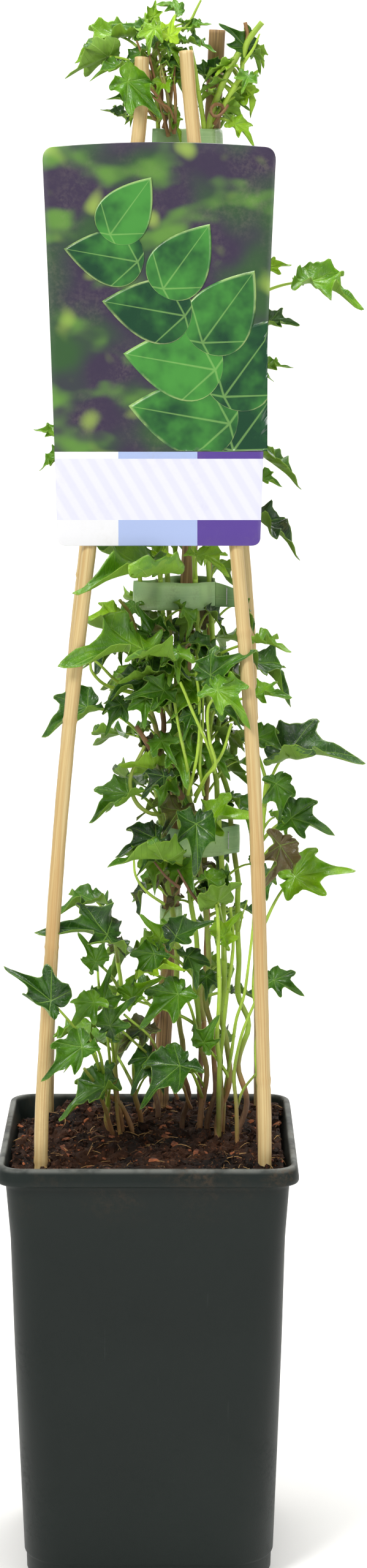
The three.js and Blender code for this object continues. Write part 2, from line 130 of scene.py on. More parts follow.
def grid_faces(rows, columns, closed=True):
    """Faces of a sheet of rows, each a ring when closed"""
    faces = []
    for r in range(rows - 1):
        for c in range(columns if closed else columns - 1):
            a = r * columns + c
            b = r * columns + (c + 1) % columns
            faces.append((a, b, b + columns, a + columns))
    return faces


def smoothstep(low, high, x):
    t = min(1, max(0, (x - low) / (high - low)))
    return t * t * (3 - 2 * t)


# %% [markdown]
# ## Shader helpers
# A material here is a Principled shader with a few textures in front of it. `Shader` keeps the
# node wiring short: each call adds a node, links its inputs and hands back the output.

# %% Shader helpers


class Shader:
    def __init__(self, tree):
        self.nodes, self.links = tree.nodes, tree.links

    def set(self, node, inputs):
        """Link or fill a node's inputs, each by its name or number"""
        for key, value in inputs.items():
            if isinstance(value, bpy.types.NodeSocket):
                self.links.new(value, node.inputs[key])
            else:
                node.inputs[key].default_value = value

    def add(self, kind, inputs=None, **options):
        node = self.nodes.new(kind)
        for name, value in options.items():
            setattr(node, name, value)
        self.set(node, inputs or {})
        return node

    def math(self, operation, a, b=0.0, c=0.0):
        return self.add("ShaderNodeMath", {0: a, 1: b, 2: c}, operation=operation).outputs[0]

    def times(self, a, b):
        return self.math("MULTIPLY", a, b)

    def plus(self, a, b):
        return self.math("ADD", a, b)

    def noise(self, vector, scale, detail=4.0, roughness=0.55):
        values = {"Vector": vector, "Scale": scale, "Detail": detail, "Roughness": roughness}
        return self.add("ShaderNodeTexNoise", values).outputs["Fac"]

    def ramp(self, value, low, high):
        """0 below low, 1 above high, smooth between"""
        node = self.add("ShaderNodeMapRange", {0: value, 1: low, 2: high}, interpolation_type="SMOOTHSTEP")
        return node.outputs[0]

    def mix(self, amount, a, b):
        return self.add("ShaderNodeMix", {"Factor": amount, 6: a, 7: b}, data_type="RGBA").outputs[2]

    def stretch(self, vector, scale):
        return self.add("ShaderNodeMapping", {"Vector": vector, "Scale": scale}).outputs[0]

    def split(self, vector):
        return self.add("ShaderNodeSeparateXYZ", {0: vector}).outputs

    def place(self):
        """Where a point lies on its object, which sits at the origin"""
        return self.add("ShaderNodeTexCoord").outputs["Object"]

    def uv(self):
        return self.add("ShaderNodeUVMap", uv_map="UVMap").outputs[0]

    def value(self, name):
        """The number that `set_value` stored on the mesh"""
        return self.add("ShaderNodeAttribute", attribute_name=name).outputs["Fac"]


def rgb(red, green, blue):
    """A colour as seen on screen, 0 to 255, made linear for the shader"""
    channels = []
    for value in (red, green, blue):
        v = value / 255
        channels.append(v / 12.92 if v <= 0.04045 else ((v + 0.055) / 1.055) ** 2.4)
    return (*channels, 1.0)


def new_material(name):
    material = bpy.data.materials.new(name)
    material.use_nodes = True
    shader = Shader(material.node_tree)
    return material, shader, shader.nodes["Principled BSDF"]


def new_group(name, inputs, outputs, kind="ShaderNodeTree"):
    """A node group with named sockets: its tree, its wiring, what it is given and its output node"""
    tree = bpy.data.node_groups.new(name, kind)
    for way, sockets in (("INPUT", inputs), ("OUTPUT", outputs)):
        for label, socket in sockets.items():
            tree.interface.new_socket(label, in_out=way, socket_type="NodeSocket" + socket)
    shader = Shader(tree)
    return tree, shader, shader.add("NodeGroupInput").outputs, shader.add("NodeGroupOutput")


# %% [markdown]
# Dust and grain turn up on the pot, the canes, the ties and the label. It is one group: a fine
# noise for the height of a bump, and a broad patchy mask that tells where dirt has gathered.

# %% Dust and grain group


def make_dust_group():
    inputs = {"Vector": "Vector", "Grain scale": "Float", "Patch scale": "Float", "Amount": "Float"}
    tree, s, given, out = new_group("dust and grain", inputs, {"Height": "Float", "Mask": "Float"})
    grain = s.noise(given["Vector"], given["Grain scale"], 3.0)
    patch = s.noise(given["Vector"], given["Patch scale"], 6.0, 0.65)
    specks = s.noise(given["Vector"], s.times(given["Patch scale"], 14.0), 2.0, 0.8)
    patchy = s.times(s.ramp(patch, 0.45, 0.75), s.ramp(specks, 0.35, 0.7))
    s.set(out, {"Height": grain, "Mask": s.times(patchy, given["Amount"])})
    return tree


DUST = make_dust_group()
print("dust group:", len(DUST.nodes), "nodes")


def dusty(shader, vector, grain, patch, amount):
    values = {"Vector": vector, "Grain scale": grain, "Patch scale": patch, "Amount": amount}
    node = shader.add("ShaderNodeGroup", values, node_tree=DUST)
    return node.outputs["Height"], node.outputs["Mask"]


def bump(shader, surface, height, strength, distance):
    node = shader.add("ShaderNodeBump", {"Height": height, "Strength": strength, "Distance": distance})
    shader.set(surface, {"Normal": node.outputs[0]})


# %% [markdown]
# ## Floor and light
# A plain pale sheet that curves up behind the plant stands in for the studio. Large soft lights
# from both sides, above and behind leave only faint shadows, as in the photograph. The standard view
# transform keeps the colours as full as a catalogue picture has them.

# %% Floor and light
SWEEP_FRONT = -3.0
SWEEP_BACK = 1.6
SWEEP_RADIUS = 0.6
SWEEP_TOP = 3.2
SWEEP_HALF_WIDTH = 4.0
SWEEP_DROP = 0.0004
BEND_STEPS = 12


def make_sweep():
    material, s, surface = new_material("studio paper")
    s.set(surface, {"Base Color": rgb(244, 243, 240), "Roughness": 0.9})
    profile = [(SWEEP_FRONT, 0)]
    for i in range(BEND_STEPS + 1):
        turn = math.radians(90 * i / BEND_STEPS)
        profile.append((SWEEP_BACK - SWEEP_RADIUS + SWEEP_RADIUS * math.sin(turn),
                        SWEEP_RADIUS * (1 - math.cos(turn))))
    profile.append((SWEEP_BACK, SWEEP_TOP))
    points = [(side * SWEEP_HALF_WIDTH, y, z - SWEEP_DROP) for y, z in profile for side in (-1, 1)]
    faces = grid_faces(len(profile), 2, closed=False)
    sweep = new_object("studio_sweep", points, faces, [material])


def area_light(name, place, target, size, power, colour=(1, 1, 1)):
    data = bpy.data.lights.new(name, "AREA")
    data.shape = "DISK"
    data.size = size
    data.energy = power
    data.color = colour
    light = bpy.data.objects.new(name, data)
    light.location = place
    light.rotation_euler = (Vector(target) - Vector(place)).to_track_quat("-Z", "Y").to_euler()
    bpy.context.collection.objects.link(light)


def make_light():
    middle = (0, 0, 0.42)
    area_light("key", (-1.1, -1.5, 2.0), middle, 0.8, 44)
    area_light("fill", (1.6, -1.7, 1.0), middle, 1.5, 14)
    area_light("top", (0.1, 0.1, 2.1), middle, 0.9, 24)
    area_light("back", (0.6, 1.2, 1.4), middle, 0.9, 8)
    world = bpy.data.worlds.new("soft white")
    world.use_nodes = True
    world.node_tree.nodes["Background"].inputs[0].default_value = (1, 1, 1, 1)
    world.node_tree.nodes["Background"].inputs[1].default_value = 0.42
    bpy.context.scene.world = world
    bpy.context.scene.view_settings.view_transform = "Standard"


make_sweep()
make_light()
print("floor and lights made")

# %% [markdown]
# ## Pot
# The real pot is one injection-moulded shell of dark plastic: a square with soft corners that
# widens upwards, a turned-out rim and a small step at the foot. A stack of rounded squares follows
# it outside, over the lip and down inside again, so the wall closes on itself. The drain holes are
# cut with a Boolean, because four round holes in one floor are quickest that way.

# %% Pot shape
POT_CORNER_STEPS = 12
POT_SIDE_STEPS = 6
POT_PROFILE = [
    (0, 58.6, 21), (0.4, 60, 21.7), (1.2, 61.2, 22.6), (2.6, 62.4, 24), (10.5, 62.6, 24),
    (11.2, 62.8, 24.2), (11.7, 63.4, 24.8), (12.5, 63.6, 25), (70, 65.5, 21.3), (125, 67.2, 17.5),
    (181, 68.5, 14), (209, 70.3, 10.3), (210.8, 70.6, 10.2), (211.5, 71.6, 10.6), (211.9, 73.4, 11.6),
    (212.3, 74.6, 12.3), (213.1, 75, 12.5), (215, 75, 12.5), (219.3, 74.3, 12.2), (220.4, 73.9, 12),
    (220.9, 73.3, 11.8), (221, 72.7, 11.3), (221, 71.8, 10.6), (220.7, 71.3, 10.1), (219.8, 71, 9.6),
    (211, 68.8, 9), (181, 66.5, 12), (125, 65.2, 15), (20, 61.6, 22.5), (4, 60.3, 21.3),
    (2.6, 59.4, 20.6), (2.4, 58.2, 20),
]
DRAIN_RADIUS = 5.5
DRAIN_SPREAD = 34
DRAIN_DEPTH = 12
DRAIN_SIDES = 28


def rounded_square(half, corner, corner_steps, side_steps):
    """Points round a square with soft corners, in millimetres"""
    outline = []
    for quarter in range(4):
        middle = (quarter + 0.5) * math.pi / 2
        reach = (half - corner) * math.sqrt(2)
        centre = Vector((reach * math.cos(middle), reach * math.sin(middle)))
        for i in range(corner_steps + 1):
            turn = (quarter + i / corner_steps) * math.pi / 2
            outline.append(centre + Vector((corner * math.cos(turn), corner * math.sin(turn))))
        start = outline[-1]
        run = Vector((-math.sin(turn), math.cos(turn))) * 2 * (half - corner)
        outline.extend(start + run * i / side_steps for i in range(1, side_steps))
    return outline


def level_ring(outline, z):
    """An outline in millimetres as a ring of points in metres at height z"""
    return [(x * MM, y * MM, z * MM) for x, y in outline]


def closed_stack(rings):
    """Rings of (x, y, z), the first and last closed with a fan round their middle"""
    count = len(rings[0])
    points = [p for ring in rings for p in ring]
    faces = grid_faces(len(rings), count)
    for ring in (rings[0], rings[-1]):
        points.append(sum((Vector(p) for p in ring), Vector()) / count)
    last = (len(rings) - 1) * count
    for i in range(count):
        after = (i + 1) % count
        faces.append((len(points) - 2, after, i))
        faces.append((len(points) - 1, last + i, last + after))
    return points, faces


def cut_round_holes(piece, places, radius, depth):
    for x, y in places:
        bpy.ops.mesh.primitive_cylinder_add(vertices=DRAIN_SIDES, radius=radius, depth=depth,
                                            location=(x, y, 0))
        cutter = bpy.context.object
        cut = piece.modifiers.new("drain", "BOOLEAN")
        cut.operation = "DIFFERENCE"
        cut.object = cutter
        evaluated(piece)
        bpy.data.objects.remove(cutter)


print("pot rings:", len(POT_PROFILE))

# %% Pot plastic


def make_pot_plastic():
    material, s, surface = new_material("pot plastic")
    place = s.place()
    grain, dirt = dusty(s, place, 1500.0, 30.0, 0.55)
    height = s.split(place)[2]
    cloud = s.noise(place, 9.0, 3.0)
    colour = s.mix(cloud, rgb(13, 20, 18), rgb(26, 34, 31))
    # A thin pale line along the top of the rim, broken by noise, is a painted highlight.
    lip = s.times(s.ramp(height, 0.2185, 0.2208), s.ramp(s.noise(place, 70.0), 0.3, 0.6))
    colour = s.mix(s.times(lip, 0.55), colour, rgb(128, 130, 124))
    scratches = s.noise(s.stretch(place, (260, 260, 14)), 1.0, 2.0, 0.7)
    scuffs = s.times(s.ramp(scratches, 0.72, 0.8), 0.08)
    colour = s.mix(scuffs, colour, rgb(108, 112, 108))
    near_soil = s.ramp(height, 0.185, 0.222)
    colour = s.mix(s.times(dirt, near_soil), colour, rgb(84, 66, 48))
    rough = s.math("MULTIPLY_ADD", cloud, 0.2, 0.36)
    s.set(surface, {"Base Color": colour, "Roughness": s.math("MULTIPLY_ADD", dirt, 0.3, rough),
                    "Specular IOR Level": 0.22})
    relief = s.plus(s.times(grain, 0.25), s.times(s.noise(place, 60.0), 0.5))
    bump(s, surface, relief, 0.35, 0.0006)
    return material


def make_pot():
    rings = []
    for z, half, corner in POT_PROFILE:
        rings.append(level_ring(rounded_square(half, corner, POT_CORNER_STEPS, POT_SIDE_STEPS), z))
    points, faces = closed_stack(rings)
    pot = new_object("nursery_pot", points, faces, [make_pot_plastic()])
    spread = DRAIN_SPREAD * MM
    places = [(x, y) for x in (-spread, spread) for y in (-spread, spread)]
    cut_round_holes(pot, places, DRAIN_RADIUS * MM, DRAIN_DEPTH * MM)
    finish_piece(pot, "pot_plastic", "pot")


make_pot()

# %% [markdown]
# ## Peat
# The soil is a height field over the pot's inside. The broad humps are the solid's own, and noise
# at three sizes breaks them up. Loose crumbs, clods, bark chips and root fibres are scattered over
# it with Geometry Nodes, because there are thousands of them and no place matters by itself.

# %% Peat surface
SOIL_LEVEL = 216
SOIL_SHAPE = [
    (0, -62, 3.5, 22), (-60, 60, -9, 15), (-38, 46, 8, 12), (-22, -38, -8, 10),
    (26, -4, 4, 22), (52, 40, 2, 20), (10, 48, 3, 14),
]
SOIL_SIDES = [(2.7, 59.6, 20.7), (20.3, 61.3, 22.2), (125.3, 64.9, 14.7), (181.3, 66.2, 11.7),
              (204, 67.6, 9.4)]
SOIL_CORNER_STEPS = 14
SOIL_SIDE_STEPS = 24
SOIL_RINGS = 56
CLODS = [(0.09, 1.8), (0.24, 1.8), (0.55, 1.1)]


def soil_height(x, y):
    z = SOIL_LEVEL + 0.8 * math.sin(0.21 * x + 1) * math.cos(0.17 * y)
    z += 0.5 * math.sin(0.37 * x - 0.29 * y)
    for cx, cy, height, spread in SOIL_SHAPE:
        z += height * math.exp(-((x - cx) ** 2 + (y - cy) ** 2) / (2 * spread ** 2))
    return z


def rough_height(x, y):
    z = soil_height(x, y)
    for scale, height in CLODS:
        z += height * noise.noise((x * scale, y * scale, 3 * scale))
    return z


def make_peat_material():
    material, s, surface = new_material("peat")
    place = s.place()
    broad = s.noise(place, 45.0, 5.0, 0.65)
    fine = s.noise(place, 420.0, 4.0, 0.75)
    colour = s.mix(s.ramp(broad, 0.36, 0.66), rgb(20, 12, 8), rgb(62, 36, 20))
    colour = s.mix(s.ramp(fine, 0.55, 0.75), colour, rgb(108, 62, 34))
    cells = s.add("ShaderNodeTexVoronoi", {"Vector": place, "Scale": 260.0})
    chips = s.math("LESS_THAN", cells.outputs["Distance"], 0.16)
    colour = s.mix(s.times(chips, 0.5), colour, rgb(140, 84, 44))
    s.set(surface, {"Base Color": colour, "Roughness": s.math("MULTIPLY_ADD", broad, -0.3, 1.0),
                    "Specular IOR Level": 0.25})
    bump(s, surface, s.plus(fine, s.times(broad, 1.5)), 0.9, 0.0022)
    return material


PEAT = make_peat_material()


def make_soil():
    rings = []
    for z, half, corner in SOIL_SIDES:
        edge = rounded_square(half, corner, SOIL_CORNER_STEPS, SOIL_SIDE_STEPS)
        rings.append(level_ring(edge, z))
    for k in range(SOIL_RINGS, 0, -1):
        spots = [(k / SOIL_RINGS * x, k / SOIL_RINGS * y) for x, y in edge]
        rings.append([(x * MM, y * MM, rough_height(x, y) * MM) for x, y in spots])
    points, faces = closed_stack(rings)
    finish_piece(new_object("peat_bed", points, faces, [PEAT]), "peat", "soil")
    top = [p for ring in rings[len(SOIL_SIDES):] for p in ring]
    return top, grid_faces(SOIL_RINGS, len(edge))


SOIL_TOP = make_soil()

# %% [markdown]
# The scatter tree takes a surface and a small shape. Distribute Points on Faces drops seeded
# points, Instance on Points puts the shape there, turned and sized at random, and Realize
# Instances makes it real mesh.

# %% Bits to scatter


def clod_shape(name, subdivisions, squash, wobble, seed):
    """A lumpy pebble of unit radius, flattened to squash"""
    bpy.ops.mesh.primitive_ico_sphere_add(subdivisions=subdivisions, radius=1)
    shape = bpy.context.object
    shape.name = name
    for vertex in shape.data.vertices:
        push = 1 + wobble * noise.noise(vertex.co * 1.3 + Vector((seed, 0, 0)))
        x, y, z = vertex.co
        vertex.co = (x * push, y * push * squash[0], z * push * squash[1])
    return shape


def fibre_shape(name, bend):
    """A thin bent strand of unit length with three sides"""
    rings = []
    for i in range(6):
        t = i / 5
        centre = Vector((t - 0.5, bend * math.sin(3 * t), bend * math.sin(math.pi * t)))
        thick = 0.03 * (1 - 0.6 * t)
        rings.append([centre + Vector((0, thick * math.cos(a), thick * math.sin(a))) for a in (0, 2.1, 4.2)])
    points, faces = closed_stack(rings)
    return new_object(name, points, faces, [])


# %% Scatter tree


def finish_tree(s, geometry, given, out):
    """Make instances real, give them their material and hand them out"""
    real = s.add("GeometryNodeRealizeInstances", {0: geometry.outputs[0]})
    dressed = s.add("GeometryNodeSetMaterial", {"Geometry": real.outputs[0], "Material": given["Material"]})
    s.set(out, {"Geometry": dressed.outputs[0]})


def make_scatter_tree():
    inputs = {"Geometry": "Geometry", "Shape": "Object", "Density": "Float", "Smallest": "Float",
              "Largest": "Float", "Tumble": "Float", "Material": "Material", "Seed": "Int"}
    outputs = {"Geometry": "Geometry"}
    tree, s, given, out = new_group("scatter on a surface", inputs, outputs, "GeometryNodeTree")
    tumble, seed = given["Tumble"], given["Seed"]
    scattered = s.add("GeometryNodeDistributePointsOnFaces",
                      {"Mesh": given["Geometry"], "Density": given["Density"], "Seed": seed})
    shape = s.add("GeometryNodeObjectInfo", {"Object": given["Shape"]})
    lean = s.times(tumble, -1.0)
    lows = s.add("ShaderNodeCombineXYZ", {0: lean, 1: lean, 2: 0.0}).outputs[0]
    highs = s.add("ShaderNodeCombineXYZ", {0: tumble, 1: tumble, 2: 2 * math.pi}).outputs[0]
    turn = s.add("FunctionNodeRandomValue", {0: lows, 1: highs, "Seed": seed}, data_type="FLOAT_VECTOR")
    sizes = {2: given["Smallest"], 3: given["Largest"], "Seed": seed}
    size = s.add("FunctionNodeRandomValue", sizes, data_type="FLOAT")
    placed = s.add("GeometryNodeInstanceOnPoints",
                   {"Points": scattered.outputs["Points"], "Instance": shape.outputs["Geometry"],
                    "Rotation": turn.outputs[0], "Scale": size.outputs[1]})
    finish_tree(s, placed, given, out)
    return tree


SCATTER = make_scatter_tree()


def run_tree(piece, tree, values):
    """Put a node tree on a piece, set its inputs by identifier, and make the result a plain mesh"""
    modifier = piece.modifiers.new(tree.name, "NODES")
    modifier.node_group = tree
    for item in tree.interface.items_tree:
        if item.in_out == "INPUT" and item.name in values:
            modifier[item.identifier] = values[item.name]
    return evaluated(piece)


print("scatter tree:", len(SCATTER.nodes), "nodes")

# %% Bark and fibre finishes


def make_bit_material(name, dark, light):
    material, s, surface = new_material(name)
    place = s.place()
    colour = s.mix(s.ramp(s.noise(place, 160.0, 3.0), 0.35, 0.65), dark, light)
    s.set(surface, {"Base Color": colour, "Roughness": 0.9})
    bump(s, surface, s.noise(place, 900.0), 0.6, 0.0008)
    return material


BARK = make_bit_material("bark chips", rgb(62, 30, 18), rgb(152, 84, 46))
FIBRE = make_bit_material("root fibres", rgb(96, 66, 36), rgb(176, 138, 84))
LITTER = [
    ("peat_crumbs", clod_shape("crumb", 1, (0.8, 0.7), 0.9, 1), 56000, 0.0006, 0.0021, 3.0, PEAT, 3),
    ("peat_clods", clod_shape("clod", 2, (0.85, 0.75), 1.0, 4), 13000, 0.0016, 0.0036, 3.0, PEAT, 5),
    ("bark_chips", clod_shape("chip", 1, (0.6, 0.28), 0.8, 9), 9000, 0.0012, 0.0042, 0.5, BARK, 8),
    ("root_fibres", fibre_shape("fibre", 0.18), 11000, 0.004, 0.013, 0.5, FIBRE, 12),
]


def make_litter():
    for name, shape, density, smallest, largest, tumble, material, seed in LITTER:
        piece = new_object(name, *SOIL_TOP, [])
        values = {"Shape": shape, "Density": float(density), "Smallest": smallest, "Largest": largest,
                  "Tumble": tumble, "Material": material, "Seed": seed}
        run_tree(piece, SCATTER, values)
        bpy.data.objects.remove(shape)
        finish_piece(piece, "peat")


make_litter()

# %% [markdown]
# ## Canes and stake
# A bamboo cane is a tube with a ring every hand's width, where a leaf once sat: a raised lip over a
# narrow groove. The solid's centre points give the path, a Catmull-Rom curve joins them, and the
# radius follows a rule along it. The brown stake is the same form, rougher and thicker.

# %% Paths
CANE_RADIUS = 3.55
CANE_SIDES = 20
CANE_GAP = 1.7
CANE_RINGS = 8
CANE_UV_PER_METRE = 10
CANE_TIP = [(0.86, 0.15, 0.35), (0.5, 0.1, 0.35), (0.34, -1.6, 1.0)]
STAKE_RADIUS = 4.15
CANES = {
    "cane_front_left": [(-52.9, -57, 110), (-53, -57, 221), (-49.7, -57, 288), (-41.2, -50, 404),
                        (-28.2, -38, 523), (-4.3, -15, 719), (-2.3, -12, 759)],
    "cane_front_right": [(56.8, -56, 120), (58.1, -57, 217), (56.6, -57, 288), (52.4, -50, 409),
                         (43.6, -38, 523), (23, -15, 719), (19, -12, 762)],
    "cane_back_left": [(-53, 57, 110), (-54.4, 57, 223), (-51, 54, 310), (-43, 45, 408),
                       (-32, 35, 516), (-5, 18, 719), (-3, 15, 752)],
    "cane_back_right": [(57.5, 56.5, 110), (58.5, 57, 222), (57.6, 54, 310), (53.6, 45, 408),
                        (48, 35, 516), (24, 36, 719), (19, 35, 752)],
}
STAKE = [(4, 50, 80), (5.9, 50, 223), (10.5, 42, 309), (20, 35, 497), (31.6, 23, 719), (34.4, 20, 774)]


def spline(points, share):
    """A point on the Catmull-Rom curve through the points, share running from 0 to 1"""
    place = share * (len(points) - 1)
    i = min(int(place), len(points) - 2)
    t = place - i
    p1, p2 = Vector(points[i]), Vector(points[i + 1])
    p0 = Vector(points[i - 1]) if i > 0 else 2 * p1 - p2
    p3 = Vector(points[i + 2]) if i + 2 < len(points) else 2 * p2 - p1
    out, back = (p2 - p0) / 2, (p3 - p1) / 2
    return ((2 * t**3 - 3 * t**2 + 1) * p1 + (t**3 - 2 * t**2 + t) * out
            + (-2 * t**3 + 3 * t**2) * p2 + (t**3 - t**2) * back)


FINE_STEPS = 600


def even_path(points, gap):
    """Points about a gap apart along the curve, in millimetres"""
    fine = [spline(points, i / FINE_STEPS) for i in range(FINE_STEPS + 1)]
    lengths = [0.0]
    for a, b in zip(fine, fine[1:]):
        lengths.append(lengths[-1] + (b - a).length)
    count = max(2, round(lengths[-1] / gap))
    path, k = [], 0
    for i in range(count + 1):
        want = lengths[-1] * i / count
        while k < FINE_STEPS - 1 and lengths[k + 1] < want:
            k += 1
        span = lengths[k + 1] - lengths[k]
        path.append(fine[k].lerp(fine[k + 1], min(1, (want - lengths[k]) / span)))
    return path


def sweep(path, radii, sides):
    """Rings of points round a path, square to it, with a frame that doesn't twist"""
    rings = []
    side = Vector((1, 0, 0))
    for i, (centre, radius) in enumerate(zip(path, radii)):
        ahead = (path[min(i + 1, len(path) - 1)] - path[max(i - 1, 0)]).normalized()
        side = (side - ahead * side.dot(ahead)).normalized()
        up = ahead.cross(side)
        turns = (2 * math.pi * k / sides for k in range(sides))
        rings.append([centre + radius * (math.cos(a) * side + math.sin(a) * up) for a in turns])
    return rings


print("points along each cane:", [len(even_path(p, CANE_GAP)) for p in CANES.values()])

# %% Cane finish


def make_cane_material(name, pale, deep, ring, stain, crack, roughness):
    """Long fibres in UV space: U goes round the cane once, V is 1 for each 10 cm along it"""
    material, s, surface = new_material(name)
    uv = s.uv()
    place = s.place()
    fibres = s.noise(s.stretch(uv, (26, 1.6, 1)), 1.0, 3.0, 0.6)
    streaks = s.noise(s.stretch(uv, (13, 0.7, 1)), 1.0, 2.0)
    blotch = s.noise(place, 38.0, 5.0, 0.6)
    node_ring = s.value("node_ring")
    colour = s.mix(s.ramp(fibres, 0.35, 0.65), pale, deep)
    colour = s.mix(s.times(s.ramp(streaks, 0.5, 0.66), 0.6), colour, ring)
    colour = s.mix(s.times(s.ramp(blotch, 0.56, 0.72), stain), colour, ring)
    colour = s.mix(s.times(node_ring, stain), colour, ring)
    lines = s.noise(s.stretch(uv, (60, 2.4, 1)), 1.0, 2.0, 0.8)
    colour = s.mix(s.times(s.ramp(lines, 0.64, 0.7), crack), colour, rgb(48, 30, 18))
    grain, dirt = dusty(s, place, 1200.0, 30.0, 0.6)
    low = s.ramp(s.split(place)[2], 0.31, 0.21)
    colour = s.mix(s.times(dirt, s.times(low, 0.45)), colour, rgb(84, 60, 36))
    s.set(surface, {"Base Color": colour, "Roughness": s.math("MULTIPLY_ADD", fibres, 0.25, roughness)})
    relief = s.plus(s.times(lines, -crack), s.plus(fibres, s.times(grain, 0.06)))
    bump(s, surface, relief, 0.5, 0.0005)
    return material


BAMBOO = make_cane_material("pale bamboo", rgb(202, 180, 128), rgb(186, 156, 102), rgb(174, 134, 78),
                            0.14, 0.12, 0.34)
BROWN = make_cane_material("brown cane", rgb(168, 136, 90), rgb(128, 98, 60), rgb(82, 60, 36), 0.4, 0.6, 0.5)


# %% Cane shape


def cane_radius(s, rings, radius):
    """The radius at length s: a raised lip at each ring, a groove under it, a slight waist between"""
    bulge, mark = 0.0, 0.0
    for ring in rings:
        d = s - ring
        bulge += 0.34 * math.exp(-(d / 1.1) ** 2) - 0.3 * math.exp(-((d + 2.2) / 0.8) ** 2)
        mark += math.exp(-(d / 2.6) ** 2)
    swell = 0.05 * math.sin(s * 0.11) + 0.04 * math.sin(s * 0.37)
    return radius - 0.12 + bulge + swell, min(1, mark)


def make_cane(name, points, radius, first_ring, ring_gap, material, slot):
    """A cane with rings about ring_gap apart; its cut end is three smaller circles, the last one sunk"""
    path = even_path(points, CANE_GAP)
    gap = sum((b - a).length for a, b in zip(path, path[1:])) / (len(path) - 1)
    rings = [first_ring + ring_gap * i + 7 * math.sin(5 * i + first_ring) for i in range(CANE_RINGS)]
    shape = [cane_radius(i * gap, rings, radius) for i in range(len(path))]
    circles = sweep(path, [r for r, _ in shape], CANE_SIDES)
    rows = [i * gap * MM * CANE_UV_PER_METRE for i in range(len(path))]
    rows += [len(path) * gap * MM * CANE_UV_PER_METRE + inner for inner, _, _ in CANE_TIP]
    uv = [(k / CANE_SIDES, v) for v in rows for k in range(CANE_SIDES)]
    marks = [mark for _, mark in shape] + [mark for _, _, mark in CANE_TIP]
    marks = [mark for mark in marks for _ in range(CANE_SIDES)]
    end, ahead, last = path[-1], (path[-1] - path[-2]).normalized(), circles[-1]
    for inner, deep, _ in CANE_TIP:
        circles.append([end + (p - end) * inner + ahead * deep for p in last])
    points, faces = closed_stack([[p * MM for p in ring] for ring in circles])
    piece = new_object(name + "_grained", points, faces, [material])
    set_uv(piece.data, uv + [(0.5, 0)] * 2)
    set_value(piece.data, "node_ring", marks + [0.3, 1.0])
    finish_piece(piece, slot, name)


for number, (name, points) in enumerate(CANES.items()):
    make_cane(name, points, CANE_RADIUS, 118 + 31 * number, 104, BAMBOO, "bamboo")
make_cane("centre_stake", STAKE, STAKE_RADIUS, 150, 128, BROWN, "brown_cane")

# %% [markdown]
# ## Ivy
# Each leafy stem is one row of path points and one row for each leaf: hub, tip, the azimuth and
# elevation that the blade faces, the height of its root on the stem, its tone, and, where a cane is
# in the way, the point that its petiole passes. Tone runs from 0, a dried leaf, through dark green
# to 1, a fresh bright one.

